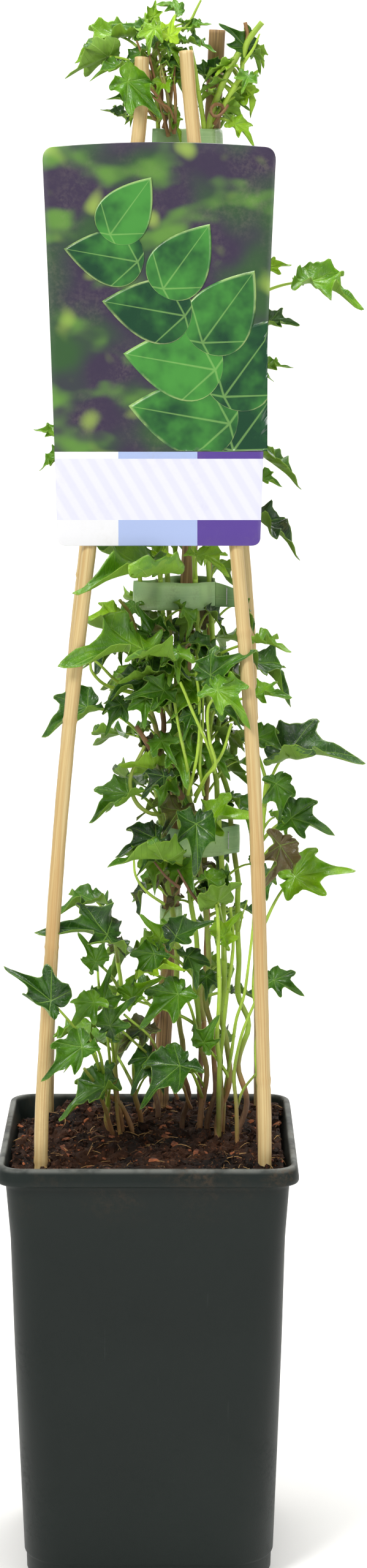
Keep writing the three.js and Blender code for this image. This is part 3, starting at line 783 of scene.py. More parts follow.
# %% Stems of the crown and the right
STEMS = {
    "ivy_crown_left": ([(34, -5, 198), (31, 6, 310), (24, 12, 371), (10, 12, 497), (8, 9, 610),
                        (5.5, 7, 722), (4, 0, 745), (5, -2, 760), (12, 1, 776)], [
        ((-18.5, -5, 760), (-41, -12, 753), 180, 60, 750, 0.5),
        ((-13, 3, 770), (-36, -2, 764), -20, 60, 754, 0.6),
        ((2, 2, 770), (-14, -2, 778), 0, 46, 762, 0.45),
        ((3, 0, 779), (5, 0, 787), 0, 20, 770, 0.8),
        ((15, 2, 782), (6, 4, 788), 20, 56, 775, 0.65),
        ((11, -14, 769), (13, -14, 780), 0, 15, 760, 0.9),
        ((22, 0, 774), (31, -2, 777), 0, 56, 772, 0.55),
        ((21, 0, 767), (34, -2, 765), 0, 75, 768, 0.5),
        ((16, -2, 767), (5, -3, 767), 0, 75, 764, 0.6),
        ((-9, -24, 747), (9, -26, 731), -10, 23, 736, 0.48, (8, -22, 750)),
        ((-7, -4, 739), (-19, -8, 741), 0, 46, 732, 0.5),
        ((-12, 3, 732), (-22, 0, 736), -60, 36, 730, 0.3),
        ((-13, -8, 755), (-28, -12, 752), 0, 66, 748, 0.5),
        ((4, -7, 660), (-1, -16, 672), -10, 53, 650, 0.5),
        ((0, -6, 622), (-14, -14, 616), -20, 61, 606, 0.4),
        ((6, -6, 555), (-10, -24, 550), 0, 61, 540, 0.5),
        ((-14, 3, 686), (-34, -1, 678), -80, 66, 670, 0.5),
        ((-10, 8, 650), (-32, 4, 654), -70, 56, 632, 0.6),
        ((-14, 8, 602), (-39, 2, 594), -70, 61, 588, 0.45),
    ]),
    "ivy_crown_right": ([(46, -17, 198), (46, 2, 310), (43, 14, 371), (31, 16, 497), (30, 12, 610),
                         (29, 11, 710), (31, 10, 726), (38, 8, 738), (44, 7, 752), (47, 6, 762)], [
        ((48, 6, 765), (38, 0, 777), 0, 23, 760, 0.35),
        ((43, 4, 728), (54, 2, 720), 10, 36, 731, 0.85),
        ((33, 6, 754), (42, 4, 761), 10, 38, 746, 0.35),
        ((28, 8, 752), (21, 6, 759), 0, 38, 744, 0.4),
        ((46, 14, 743), (55, 14, 755), 20, 38, 738, 0.8),
        ((42, 14, 700), (62, 14, 706), 80, 66, 682, 0.5),
        ((26, -4, 674), (30, -16, 686), 10, 48, 660, 0.5),
        ((46, 18, 614), (64, 24, 606), 110, 66, 594, 0.5),
        ((46, 8, 578), (66, 3, 570), 60, 66, 558, 0.4),
    ]),
    "ivy_right_upper": ([(37, -11, 198), (38, 0, 310), (36, 8, 371), (24, 8, 497), (24, 3, 570),
                         (38, 0, 620), (54, 0, 650)], [
        ((80, -2, 652), (108, -5, 644), 10, 66, 642, 0.5),
        ((59, -2, 658), (70, -4, 662), 10, 46, 648, 0.75),
        ((60, -6, 632), (74, -8, 634), 20, 46, 622, 0.3),
        ((58, -3, 610), (71, -5, 613), 40, 56, 610, 0.6),
        ((56, -2, 555), (67, -5, 554), 40, 56, 546, 0.55),
        ((24, -10, 588), (14, -24, 580), 0, 61, 566, 0.5),
        ((26, -12, 518), (40, -24, 513), 10, 70, 504, 0.9),
        ((20, -14, 458), (36, -24, 460), 180, 70, 446, 0.7),
        ((31, -42, 462), (46, -54, 477), 0, 28, 450, 0.3),
        ((53, -14, 475), (71.5, -22, 475), 30, 80, 458, 0.75),
        ((54, -12, 448), (70, -20, 451), 20, 56, 434, 0.55),
        ((34, -53.2, 456), (52, -62.2, 446), 10, 36, 434, 0.5),
        ((36, -14, 442), (48, -22, 436), 20, 46, 426, 0.3),
        ((30, -14, 384), (50, -28, 393), 0, 46, 382, 0.8),
        ((35, -26, 346), (37, -40, 361), 0, 58, 322, 0.3),
        ((38, -16, 326), (44, -24, 339), 0, 38, 310, 0.75),
        ((28, -20, 272), (33, -27, 286), 0, 30, 250, 0.5),
    ]),
    "ivy_right": ([(55, -32, 198), (56, -20, 280), (54, -8, 340), (58, -2, 380), (60, -4, 405)], [
        ((54, -8, 426), (72, -18, 422), 20, 56, 402, 0.5),
        ((69, -6, 417), (105.5, -10, 426), 10, 61, 396, 0.4),
        ((64, -16, 404), (68, -22, 387), 30, 10, 390, 0.55),
        ((72, -8, 385), (93, -14, 382), 20, 30, 372, 0.4),
        ((74, -8, 355), (102, -12, 363), 10, 34, 320, 0.6),
        ((66, -24, 374), (62, -32, 352), 40, 10, 360, 0.02),
        ((63, -28, 306), (78, -34, 301), 20, 30, 272, 0.45),
    ]),
}
print("stems of the crown and the right:", len(STEMS))

# %% Stems of the front and the left
STEMS.update({
    "ivy_front": ([(28, -2, 198), (25, 2, 310), (17, 3, 371), (8, 2, 480), (6, 1, 510)], [
        ((1, -30, 513), (-34, -57, 512), -10, 51, 505, 0.5),
        ((8, -8, 513), (1, -15, 521), 0, 38, 507, 0.9),
        ((3, -11, 478), (-5, -16, 492), 0, 28, 470, 0.4),
        ((-2, -31, 473), (-37, -61, 478), 0, 56, 458, 0.55),
        ((6, -16, 457), (-15, -26, 461), 180, 70, 446, 0.7),
        ((3, -18, 468), (20, -33, 465), 10, 66, 454, 0.35),
        ((8, -24, 452), (-10, -34, 451), 0, 31, 438, 0.4),
        ((-1, -26, 448), (-2, -34, 435), 0, 38, 434, 0.5),
        ((0, -14, 456), (-22, -22, 451), 0, 66, 440, 0.3),
        ((22, -22, 440), (18, -30, 429), 0, 38, 426, 0.45),
        ((4, -10, 409), (-15, -18, 417), 180, 52, 400, 0.75),
        ((8, -18, 408), (-4, -25, 401), 0, 46, 394, 0.3),
        ((24, -30, 386), (26, -44, 365), 10, 33, 384, 0.28),
        ((4, -16, 376), (-15, -25, 371), 0, 46, 386, 0.3),
        ((8, -24, 367), (-19, -36, 374), 180, 75, 356, 0.6),
        ((14, -26, 328), (32, -34, 338), 0, 46, 302, 0.35),
        ((6, -14, 324), (-2, -20, 338), 0, 38, 306, 0.6),
        ((3, -20, 318), (-10, -28, 306), 0, 28, 300, 0.3),
        ((0, -22, 310), (17, -30, 315), 0, 70, 290, 0.95),
        ((-8, -24, 296), (4, -30, 308), 0, 38, 276, 0.55),
        ((20, -18, 316), (27, -25, 302), 30, 28, 296, 0.28),
        ((15, -24, 298), (-4, -34, 284), 0, 46, 270, 0.45),
        ((16, -28, 262), (-6, -40, 248), 0, 56, 238, 0.35),
    ]),
    "ivy_left_upper": ([(23, 9, 198), (15, 13, 310), (7, 15, 371), (-4, 16, 497), (-11, 12, 540),
                        (-22, 6, 562), (-33, 2, 570)], [
        ((-46, 0, 577), (-56, -2, 580), -20, 56, 566, 0.7),
        ((-44, 4, 566), (-55, 4, 560), -40, 46, 560, 0.5),
        ((-15, -6, 486), (-31, -14, 490), -20, 56, 476, 0.85),
        ((-13, -18, 444), (-21, -28, 432), -20, 28, 430, 0.35),
        ((-30, -14, 442), (-54, -18, 431), -20, 46, 414, 0.4),
        ((-10, -17, 399), (-30, -26, 388), -20, 56, 380, 0.45),
    ]),
    "ivy_left": ([(-13, 15, 198), (-14, 4, 260), (-15, -2, 300), (-16, -6, 322)], [
        ((-26, -16, 344), (-49, -22, 346), -20, 84, 318, 0.4),
        ((-20, -46, 333), (-46, -64, 344), -10, 46, 310, 0.35),
        ((-26, -30, 316), (-32, -37, 329), 0, 28, 294, 0.5),
        ((-23, -20, 293), (-19, -27, 309), 0, 30, 272, 0.4),
        ((-27, -34, 296), (-40, -42, 286), -10, 46, 268, 0.55),
        ((-19, -26, 282), (-10, -33, 299), 0, 38, 256, 0.3),
    ]),
    "ivy_left_low": ([(-18, 18, 198), (-22, 6, 232), (-25, 0, 250)], [
        ((-47, -68.5, 305), (-67.5, -69.5, 323), -10, 38, 246, 0.42, (-24, -40, 272)),
        ((-32, -65.5, 281), (-51, -74.5, 267), -15, 31, 236, 0.4),
        ((-22, -24, 250), (-46, -34, 243), -20, 70, 232, 0.45),
        ((-34, 8, 272), (-56, 14, 268), -100, 66, 244, 0.5),
    ]),
    "ivy_short": ([(-7, 25, 198), (-6, 12, 232), (-4, 2, 256), (-4, -2, 272)], [
        ((0, -18, 264), (-10, -28, 250), 0, 38, 248, 0.28),
        ((-2, -14, 278), (-17, -24, 271), 0, 56, 266, 0.2),
        ((-26, 24, 262), (-48, 28, 254), -100, 66, 242, 0.5),
    ]),
})
print("leafy stems:", len(STEMS))

# %% [markdown]
# Two stems at the back carry leaves by rule: each next leaf turns by the golden angle within a fan
# that passes beside the canes. The small generator gives the same draws as in the solids.

# %% Leaves by rule
BACK_STEMS = {
    "ivy_back_left": ([(0, 38, 198), (5, 33, 270), (9, 29, 326), (7, 27, 371), (6, 26, 497),
                       (12, 24, 610), (16, 22, 700)], 7, [
        (-136, 14, 240, 308, 3, 24, 29),
        (-136, 14, 380, 470, 4, 24, 26),
        (-167, 9, 505, 660, 6, 20, 31),
    ]),
    "ivy_back_right": ([(24, 34, 198), (28, 34, 270), (30, 32, 326), (29, 30, 371), (31, 27, 497),
                        (33, 24, 570)], 11, [
        (172, 6, 238, 350, 4, 22, 24),
        (172, 6, 382, 478, 3, 22, 23),
        (94, 6, 260, 348, 2, 16, 15),
        (72, 10, 430, 480, 1, 24, 26),
        (86, 8, 510, 570, 2, 24, 26),
    ]),
}
GOLDEN = 0.618034


def seeded(seed):
    state = seed
    while True:
        state = (state * 9301 + 49297) % 233280
        yield state / 233280


def facing(azimuth, elevation):
    turn, rise = math.radians(azimuth), math.radians(elevation)
    return Vector((math.sin(turn) * math.cos(rise), -math.cos(turn) * math.cos(rise), math.sin(rise)))


def at_height(path, z):
    for a, b in zip(path, path[1:]):
        if b.z >= z:
            return a.lerp(b, min(1, (z - a.z) / (b.z - a.z)))
    return path[-1].copy()


def fan_leaves(path, fan, draw):
    azimuth, spread, low, high, count, stalk, length = fan
    rows = []
    for i in range(count):
        root = low + (high - low) * (i + 0.5) / count
        turn = azimuth + spread * (2 * ((i * GOLDEN) % 1) - 1)
        out = facing(turn, 0)
        reach = length * (0.85 + 0.3 * next(draw))
        droop = 0.1 + 0.5 * next(draw)
        hub = at_height(path, root) + out * stalk * (0.85 + 0.3 * next(draw))
        hub.z += 4 + 6 * next(draw)
        tip = hub + out * reach * math.cos(droop)
        tip.z -= reach * math.sin(droop)
        rows.append((hub, tip, turn, 40, root, 0.3 + 0.35 * ((i * GOLDEN) % 1)))
    return rows


STEM_GAP = 4.0


def all_stems():
    """Name, even path and leaf rows of every leafy stem"""
    for name, (points, rows) in STEMS.items():
        yield name, even_path(points, STEM_GAP), rows
    for name, (points, seed, fans) in BACK_STEMS.items():
        path = even_path(points, STEM_GAP)
        draw = seeded(seed)
        yield name, path, [row for fan in fans for row in fan_leaves(path, fan, draw)]


print("leaves:", sum(len(rows) for _, _, rows in all_stems()))

# %% [markdown]
# ## Ties
# Four tapes hold the stems to the brown stake. Each follows the hull of what it holds at its own
# height, a little slack, and hangs in soft waves. The tape is a ring of cross sections, so it's
# one closed body without a seam.

# %% Tie shape
STEM_RADIUS = 1.5
TIE_CLEARANCE = 0.35
TAPE_THICKNESS = 0.65
HULL_STEPS = 24
TIE_STATIONS = 120
TIE_ROWS = 7
BUNDLE = ["ivy_crown_left", "ivy_crown_right", "ivy_right_upper", "ivy_left_upper", "ivy_front",
          "ivy_back_left", "ivy_back_right"]
TIES = [
    ("tie_top", BUNDLE[:2], 714, 726, 0.4, 1.0),
    ("tie_upper", BUNDLE, 489, 503, 1.0, 2.0),
    ("tie_middle", BUNDLE, 364, 378, 0.9, 3.3),
    ("tie_lower", ["ivy_back_left"], 319, 331, 0.3, 4.6),
]


def hull(points):
    """The convex outline of points in a plane, anticlockwise"""
    ordered = sorted(points)
    outline = []
    for part in (ordered, ordered[::-1]):
        chain = []
        for p in part:
            while len(chain) > 1:
                a, b = chain[-2:]
                if (b[0] - a[0]) * (p[1] - a[1]) - (b[1] - a[1]) * (p[0] - a[0]) > 0:
                    break
                chain.pop()
            chain.append(p)
        outline.extend(chain[:-1])
    return outline


def even_loop(outline, count):
    """Points at even distances round a closed outline"""
    corners = [Vector(p) for p in outline]
    corners.append(corners[0])
    lengths = [0.0]
    for a, b in zip(corners, corners[1:]):
        lengths.append(lengths[-1] + (b - a).length)
    loop, k = [], 0
    for i in range(count):
        want = lengths[-1] * i / count
        while lengths[k + 1] < want:
            k += 1
        loop.append(corners[k].lerp(corners[k + 1], (want - lengths[k]) / (lengths[k + 1] - lengths[k])))
    return loop


# %% Ties round their bundles
STEM_PATHS = {name: path for name, path, _ in all_stems()}
STAKE_PATH = even_path(STAKE, STEM_GAP)


def bundle_outline(names, low, high):
    held = [(STAKE_PATH, STAKE_RADIUS)] + [(STEM_PATHS[name], STEM_RADIUS) for name in names]
    points = []
    for path, radius in held:
        for z in (low, (low + high) / 2, high):
            centre = at_height(path, z)
            reach = radius + TIE_CLEARANCE
            for i in range(HULL_STEPS):
                turn = 2 * math.pi * i / HULL_STEPS
                points.append((centre.x + reach * math.cos(turn), centre.y + reach * math.sin(turn)))
    return even_loop(hull(points), TIE_STATIONS)


def tie_section(low, high, wave, edge):
    """Offsets outwards and heights round one cross section: up the outside and down the inside"""
    section = []
    for k in range(TIE_ROWS):
        z = low + (high - low) * k / (TIE_ROWS - 1)
        bow = 0.25 * math.sin(math.pi * k / (TIE_ROWS - 1))
        section.append((TAPE_THICKNESS + bow + wave, z + edge))
    return section + [(out - TAPE_THICKNESS, z) for out, z in reversed(section)]


def make_tie(name, names, low, high, slack, phase, material):
    outline = bundle_outline(names, low, high)
    rings = []
    for i, p in enumerate(outline):
        ahead = (outline[(i + 1) % TIE_STATIONS] - outline[i - 1]).normalized()
        out = Vector((ahead.y, -ahead.x))
        turn = 2 * math.pi * i / TIE_STATIONS
        wave = 0.18 + 0.18 * math.sin(7 * turn + phase)
        edge = -slack * math.sin(turn + phase) ** 2 + 0.25 * math.sin(5 * turn + phase)
        ring = []
        for offset, z in tie_section(low, high, wave, edge):
            place = p + out * offset
            ring.append((place.x * MM, place.y * MM, z * MM))
        rings.append(ring)
    rows, columns = len(rings), len(rings[0])
    faces = grid_faces(rows, columns)
    faces += [((rows - 1) * columns + c, (rows - 1) * columns + (c + 1) % columns, (c + 1) % columns, c)
              for c in range(columns)]
    return new_object(name + "_tape", [p for ring in rings for p in ring], faces, [material])


for name, names, low, high, _, _ in TIES:
    print(name, "holds", len(names), "stems between", low, "and", high, "mm")

# %% Tape
STAPLE_WIRE = 0.28
TAIL_RINGS = 14
STAPLES = [("tie_top", 24.5, 4.2), ("tie_upper", 39.4, 4.4), ("tie_middle", 40.6, 4.2)]
TAIL = ((33.6, 6.5), (44.2, -0.3))


def tape_front(names, low, high, x):
    """How far forward the tape stands at x"""
    near = [p.y for p in bundle_outline(names, low, high) if abs(p.x - x) < 2]
    if near:
        return min(near) - TAPE_THICKNESS - 0.4
    share = (x - TAIL[0][0]) / (TAIL[1][0] - TAIL[0][0])
    return TAIL[0][1] + (TAIL[1][1] - TAIL[0][1]) * share - 0.9


def make_tape_material():
    material, s, surface = new_material("green tie tape")
    place = s.place()
    grain, dirt = dusty(s, place, 1300.0, 60.0, 0.5)
    ridges_and_highlight = s.noise(s.stretch(place, (12, 12, 900)), 1.0, 2.0)
    tint = s.noise(place, 42.0, 2.0)
    colour = s.mix(s.ramp(tint, 0.35, 0.65), rgb(124, 160, 108), rgb(160, 192, 130))
    # The pale colour on the ridges is a painted highlight; their bump below is real relief.
    colour = s.mix(s.times(s.ramp(ridges_and_highlight, 0.55, 0.75), 0.35), colour, rgb(184, 208, 156))
    colour = s.mix(dirt, colour, rgb(92, 84, 58))
    s.set(surface, {"Base Color": colour, "Roughness": s.math("MULTIPLY_ADD", tint, 0.2, 0.34),
                    "Subsurface Weight": 0.1, "Subsurface Radius": (0.002, 0.003, 0.002)})
    bump(s, surface, s.plus(s.times(grain, 0.4), ridges_and_highlight), 0.35, 0.0003)
    return material


TAPE = make_tape_material()


# %% Tail and staples


def make_tail(material):
    """The two ends of the upper tape, pressed together behind the front right cane"""
    rings = []
    for i in range(TAIL_RINGS):
        t = i / (TAIL_RINGS - 1)
        x, y = (a + (b - a) * t for a, b in zip(*TAIL))
        y += 0.5 * math.sin(6 * t)
        low, high = 490.2 + 0.8 * t, 502.6 - 1.6 * t - 1.2 * t * t
        half = 0.7 - 0.15 * t
        ring = []
        for side in (-1, 1):
            for k in range(TIE_ROWS):
                share = k / (TIE_ROWS - 1) if side < 0 else 1 - k / (TIE_ROWS - 1)
                bow = 0.3 * math.sin(3 * share + 4 * t)
                ring.append((x * MM, (y + side * half + bow) * MM, (low + (high - low) * share) * MM))
        rings.append(ring)
    points, faces = closed_stack(rings)
    return new_object("tie_upper_tail", points, faces, [material])


def make_staple(name, x, y, middle, half, material):
    """A wire standing on the tape, with both legs bent back into it"""
    side = [(1.8, half), (-0.1, half), (-0.45, half - 0.7)]
    places = [(y + out, middle - up) for out, up in side] + [(y - 0.5, middle)]
    places += [(y + out, middle + up) for out, up in reversed(side)]
    path = even_path([(x, *place) for place in places], 0.35)
    rings = sweep(path, [STAPLE_WIRE] * len(path), 8)
    points, faces = closed_stack([[p * MM for p in ring] for ring in rings])
    return new_object(name + "_staple", points, faces, [material])


def make_staple_steel():
    material, s, surface = new_material("staple steel")
    place = s.place()
    tint = s.noise(place, 900.0, 2.0)
    s.set(surface, {"Base Color": s.mix(tint, rgb(150, 152, 150), rgb(206, 208, 204)),
                    "Roughness": s.math("MULTIPLY_ADD", tint, 0.2, 0.2), "Metallic": 1.0})
    return material


def make_ties():
    for name, names, low, high, slack, phase in TIES:
        finish_piece(make_tie(name, names, low, high, slack, phase, TAPE), "tie_tape", name)
    finish_piece(make_tail(TAPE), "tie_tape")
    steel = make_staple_steel()
    for name, x, half in STAPLES:
        names, low, high = next(row[1:4] for row in TIES if row[0] == name)
        y = tape_front(names, low, high, x)
        finish_piece(make_staple(name, x, y, (low + high) / 2, half, steel), "tie_tape")


make_ties()

# %% [markdown]
# ## Leaf shape
# A blade has five pointed lobes with round bays between them. Its margin is a chain of Bezier
# edges from lobe tip to bay, and rings between the hub and the margin fill it. Height is added ring
# by ring: bays turn up, tips turn down, the margin ruffles, and each leaf bends its own way.

# %% Leaf template
LEAF_KEYS = [(0, 1, -0.1), (28, 0.51, 0.07), (52, 0.75, -0.03), (81, 0.43, 0.09), (114, 0.51, 0.0),
             (150, 0.31, 0.03), (180, 0.09, 0.0)]
LEAF_RINGS = (0.1, 0.24, 0.4, 0.56, 0.71, 0.84, 0.94, 1.0)
SMALL_RINGS = (0.25, 0.52, 0.79, 1.0)
LEAF_THICKNESS = 0.34
EDGE_BULGE = 0.085


def key_place(key):
    turn = math.radians(key[0])
    return Vector((key[1] * math.cos(turn), key[1] * math.sin(turn)))


def bezier(a, b, c, d, t):
    u = 1 - t
    return u**3 * a + 3 * u * u * t * b + 3 * u * t * t * c + t**3 * d


def half_margin(steps):
    """Margin points from the tip round to the base on one side: place, lift, bay weight"""
    margin = []
    for i in range(len(LEAF_KEYS) - 1):
        start, end = LEAF_KEYS[i], LEAF_KEYS[i + 1]
        a, d = key_place(start), key_place(end)
        chord = d - a
        out = Vector((chord.y, -chord.x)).normalized()
        falling = i % 2 == 0
        bay = end if falling else start
        turn = math.radians(bay[0])
        skirt = Vector((-math.sin(turn), math.cos(turn))) * chord.length * 0.4
        if falling:
            b, c = a + chord * 0.3 + out * EDGE_BULGE, d - skirt
        else:
            b, c = a + skirt, d - chord * 0.3 + out * EDGE_BULGE
        for k in range(steps):
            t = k / steps
            blend = smoothstep(0, 1, t)
            weight = blend if falling else 1 - blend
            margin.append((bezier(a, b, c, d, t), start[2] + (end[2] - start[2]) * blend, weight))
    return margin


def full_margin(steps):
    half = half_margin(steps)
    base = (key_place(LEAF_KEYS[-1]), LEAF_KEYS[-1][2], 0.0)
    mirrored = [(Vector((p.x, -p.y)), lift, weight) for p, lift, weight in half[:0:-1]]
    return half + [base] + mirrored


MARGIN = full_margin(8)
SMALL_MARGIN = full_margin(4)
print("points on a leaf margin:", len(MARGIN))

# %% [markdown]
# Each leaf draws its own moods from the seeded generator: how far it bends along and across, how
# strongly its margin ruffles and where the ruffle starts.

# %% One leaf


def leaf_moods(draw, fold):
    """Fold 1 rolls the near half up, -1 the far half, 0 neither"""
    return {
        "bend": 0.03 - 0.3 * next(draw),
        "ruffle": 0.045 + 0.04 * next(draw),
        "phase": 6.283 * next(draw),
        "skew": 0.24 * (next(draw) - 0.5),
        "curl": 0.03 + 0.1 * next(draw),
        "waves": 8 + int(4 * next(draw)),
        "twist": 0.5 * (next(draw) - 0.5),
        "near": 0.7 + 1.9 * next(draw) + 2.2 * max(0, fold),
        "far": 0.7 + 1.9 * next(draw) + 2.2 * max(0, -fold),
        "uneven": 0.13 * next(draw),
        "narrow": 0.78 + 0.2 * next(draw),
    }


MIDRIB_HALF = 0.06


def roll_up(y, moods):
    """Bend a place across the leaf along an arc: where it ends up, and how high"""
    tightness = moods["near"] if y > 0 else moods["far"]
    beyond = max(0, abs(y) - MIDRIB_HALF)
    flat = min(abs(y), MIDRIB_HALF) + math.sin(tightness * beyond) / tightness
    return math.copysign(flat, y), (1 - math.cos(tightness * beyond)) / tightness


def leaf_height(p, lift, bay, turn, ring, moods):
    """Height over the leaf plane in leaf lengths, for margin point p at share ring of its reach"""
    rim = smoothstep(0.55, 1, ring)
    wave = math.sin(moods["waves"] * turn + moods["phase"]) + 0.4 * math.sin(23 * turn + 2 * moods["phase"])
    height = lift * ring ** 1.2
    height += moods["bend"] * (ring * max(p.x, 0)) ** 2
    height += moods["twist"] * ring * ring * p.x * p.y
    height += moods["ruffle"] * wave * rim * (0.35 + bay)
    height += 0.055 * bay * smoothstep(0.7, 1, ring) - moods["curl"] * (1 - bay) * smoothstep(0.6, 1, ring)
    return height


def leaf_basis(hub, tip, azimuth, elevation):
    along = (tip - hub).normalized()
    normal = facing(azimuth, elevation)
    normal = (normal - along * normal.dot(along)).normalized()
    return along, normal.cross(along), normal


# %% Leaf sheet


class LeafSheet:
    """Collects the blades of one stem in one mesh, with their leaf-plane places, margins and tones"""

    def __init__(self, margin=MARGIN, rings=LEAF_RINGS):
        self.margin, self.rings = margin, rings
        self.points, self.faces, self.slots = [], [], []
        self.plane, self.rim, self.tone = [], [], []

    def add_side(self, hub, axes, length, moods, offset, tone):
        along, across, normal = axes
        first = len(self.points)
        self.points.append(hub + normal * offset)
        self.plane.append((0, 0))
        self.rim.append(0.0)
        for ring in self.rings:
            for i, (p, lift, bay) in enumerate(self.margin):
                turn = 2 * math.pi * i / len(self.margin)
                sway = moods["uneven"] * math.sin(2 * turn + moods["phase"]) * smoothstep(0, 1, turn)
                reach = ring * (1 + sway)
                x, y = p.x * reach, (p.y * moods["narrow"] + moods["skew"] * p.x * p.x) * reach
                aside, up = roll_up(y, moods)
                height = (leaf_height(p, lift, bay, turn, ring, moods) + up) * length
                self.points.append(hub + (along * x + across * aside) * length + normal * (height + offset))
                self.plane.append((x, y))
                self.rim.append(ring)
        self.tone.extend([tone] * (len(self.points) - first))
        return first

    def add_leaf(self, hub, tip, azimuth, elevation, tone, draw, fold=0):
        axes = leaf_basis(hub, tip, azimuth, elevation)
        length = (tip - hub).length
        moods = leaf_moods(draw, fold)
        upper = self.add_side(hub, axes, length, moods, LEAF_THICKNESS / 2, tone)
        under = self.add_side(hub, axes, length, moods, -LEAF_THICKNESS / 2, tone)
        self.join_sides(upper, under)

    def join_sides(self, upper, under):
        """Faces of the two sides, wound outwards, and of the thin edge between them"""
        count, last = len(self.margin), len(self.rings) - 1
        for i in range(count):
            j = (i + 1) % count
            self.faces.append((upper, upper + 1 + i, upper + 1 + j))
            self.faces.append((under, under + 1 + j, under + 1 + i))
            self.slots.extend((0, 1))
            for r in range(last):
                a, b = 1 + r * count + i, 1 + r * count + j
                self.faces.append((upper + a, upper + a + count, upper + b + count, upper + b))
                self.faces.append((under + a, under + b, under + b + count, under + a + count))
                self.slots.extend((0, 1))
            a, b = 1 + last * count + i, 1 + last * count + j
            self.faces.append((upper + a, under + a, under + b, upper + b))
            self.slots.append(1)

    def make(self, name, materials):
        piece = new_object(name, [p * MM for p in self.points], self.faces, materials, self.slots)
        set_uv(piece.data, self.plane)
        set_value(piece.data, "rim", self.rim)
        set_value(piece.data, "tone", self.tone)
        return piece

# %% [markdown]
# ## Leaf finish
# The vein group reads the leaf-plane place: five main veins run from the hub to the lobe tips, side
# veins slant off the nearest one, and a fine net fills the rest. The upper face, the under face and
# the printed leaves on the label all use it.

# %% Vein group
VEIN_RAYS = [(0, 1.0), (52, 0.8), (115, 0.56)]
SIDE_VEIN_GAP = 0.115
SIDE_VEIN_SLANT = 0.75


def make_vein_group():
    outputs = {"Main": "Float", "Side": "Float", "Net": "Float"}
    tree, s, given, out = new_group("ivy veins", {"Leaf plane": "Vector"}, outputs)
    x, y = s.split(given["Leaf plane"])[:2]
    y = s.math("ABSOLUTE", y)
    reaches, offs = [], []
    for angle, _ in VEIN_RAYS:
        turn = math.radians(angle)
        ahead = s.plus(s.times(x, math.cos(turn)), s.times(y, math.sin(turn)))
        aside = s.math("SUBTRACT", s.times(x, math.sin(turn)), s.times(y, math.cos(turn)))
        behind = s.math("MAXIMUM", s.times(ahead, -2.0), 0.0)
        reaches.append(ahead)
        offs.append(s.plus(s.math("ABSOLUTE", aside), behind))
    nearest = s.math("MINIMUM", s.math("MINIMUM", offs[0], offs[1]), offs[2])
    main, side = 0.0, 0.0
    for ahead, off, (_, reach) in zip(reaches, offs, VEIN_RAYS):
        taper = s.math("MULTIPLY_ADD", ahead, -0.011 / reach, 0.016)
        main = s.math("MAXIMUM", main, s.ramp(s.math("DIVIDE", off, taper), 1.0, 0.35))
        steps = s.math("DIVIDE", s.math("MULTIPLY_ADD", off, -SIDE_VEIN_SLANT, ahead), SIDE_VEIN_GAP)
        wave = s.math("ABSOLUTE", s.math("SUBTRACT", s.math("FRACT", steps), 0.5))
        line = s.times(s.ramp(wave, 0.07, 0.01), s.ramp(off, 0.34, 0.02))
        mine = s.math("LESS_THAN", off, s.plus(nearest, 0.0001))
        side = s.math("MAXIMUM", side, s.times(line, mine))
    values = {"Vector": given["Leaf plane"], "Scale": 17.0}
    cells = s.add("ShaderNodeTexVoronoi", values, feature="DISTANCE_TO_EDGE")
    s.set(out, {"Main": main, "Side": side, "Net": s.ramp(cells.outputs["Distance"], 0.09, 0.0)})
    return tree


VEINS = make_vein_group()
print("vein group:", len(VEINS.nodes), "nodes")


def add_veins(shader):
    node = shader.add("ShaderNodeGroup", {"Leaf plane": shader.uv()}, node_tree=VEINS)
    return node.outputs["Main"], node.outputs["Side"], node.outputs["Net"]


# %% Leaf materials
LEAF_TONES = [
    (0.0, rgb(92, 78, 44)), (0.12, rgb(82, 84, 36)), (0.2, rgb(22, 50, 20)), (0.36, rgb(42, 86, 10)),
    (0.56, rgb(80, 130, 10)), (0.76, rgb(124, 168, 14)), (1.0, rgb(166, 204, 40)),
]


def colour_steps(shader, value, steps):
    node = shader.add("ShaderNodeValToRGB", {"Fac": value})
    ramp = node.color_ramp
    while len(ramp.elements) < len(steps):
        ramp.elements.new(0.5)
    for element, (place, colour) in zip(ramp.elements, steps):
        element.position = place
        element.color = colour
    return node.outputs["Color"]


def leaf_colour(s, place, veins, vein_colour):
    """The blade's colour from its tone, lighter on veins and rim, and the broad noise in it"""
    main, side, net = veins
    tone, rim = s.value("tone"), s.value("rim")
    broad = s.noise(place, 70.0, 3.0)
    spots = s.noise(place, 420.0, 3.0, 0.7)
    shift = s.plus(s.math("MULTIPLY_ADD", broad, 0.5, -0.25), tone)
    shift = s.plus(s.math("MULTIPLY_ADD", spots, 0.16, -0.08), shift)
    colour = colour_steps(s, s.plus(shift, s.times(rim, -0.04)), LEAF_TONES)
    lines = s.math("MAXIMUM", s.times(main, 0.8), s.times(side, 0.3))
    lines = s.math("MAXIMUM", lines, s.times(net, 0.08))
    colour = s.mix(s.times(lines, 0.5), colour, vein_colour)
    return s.mix(s.times(s.ramp(rim, 0.955, 1.0), 0.4), colour, rgb(150, 182, 70)), broad


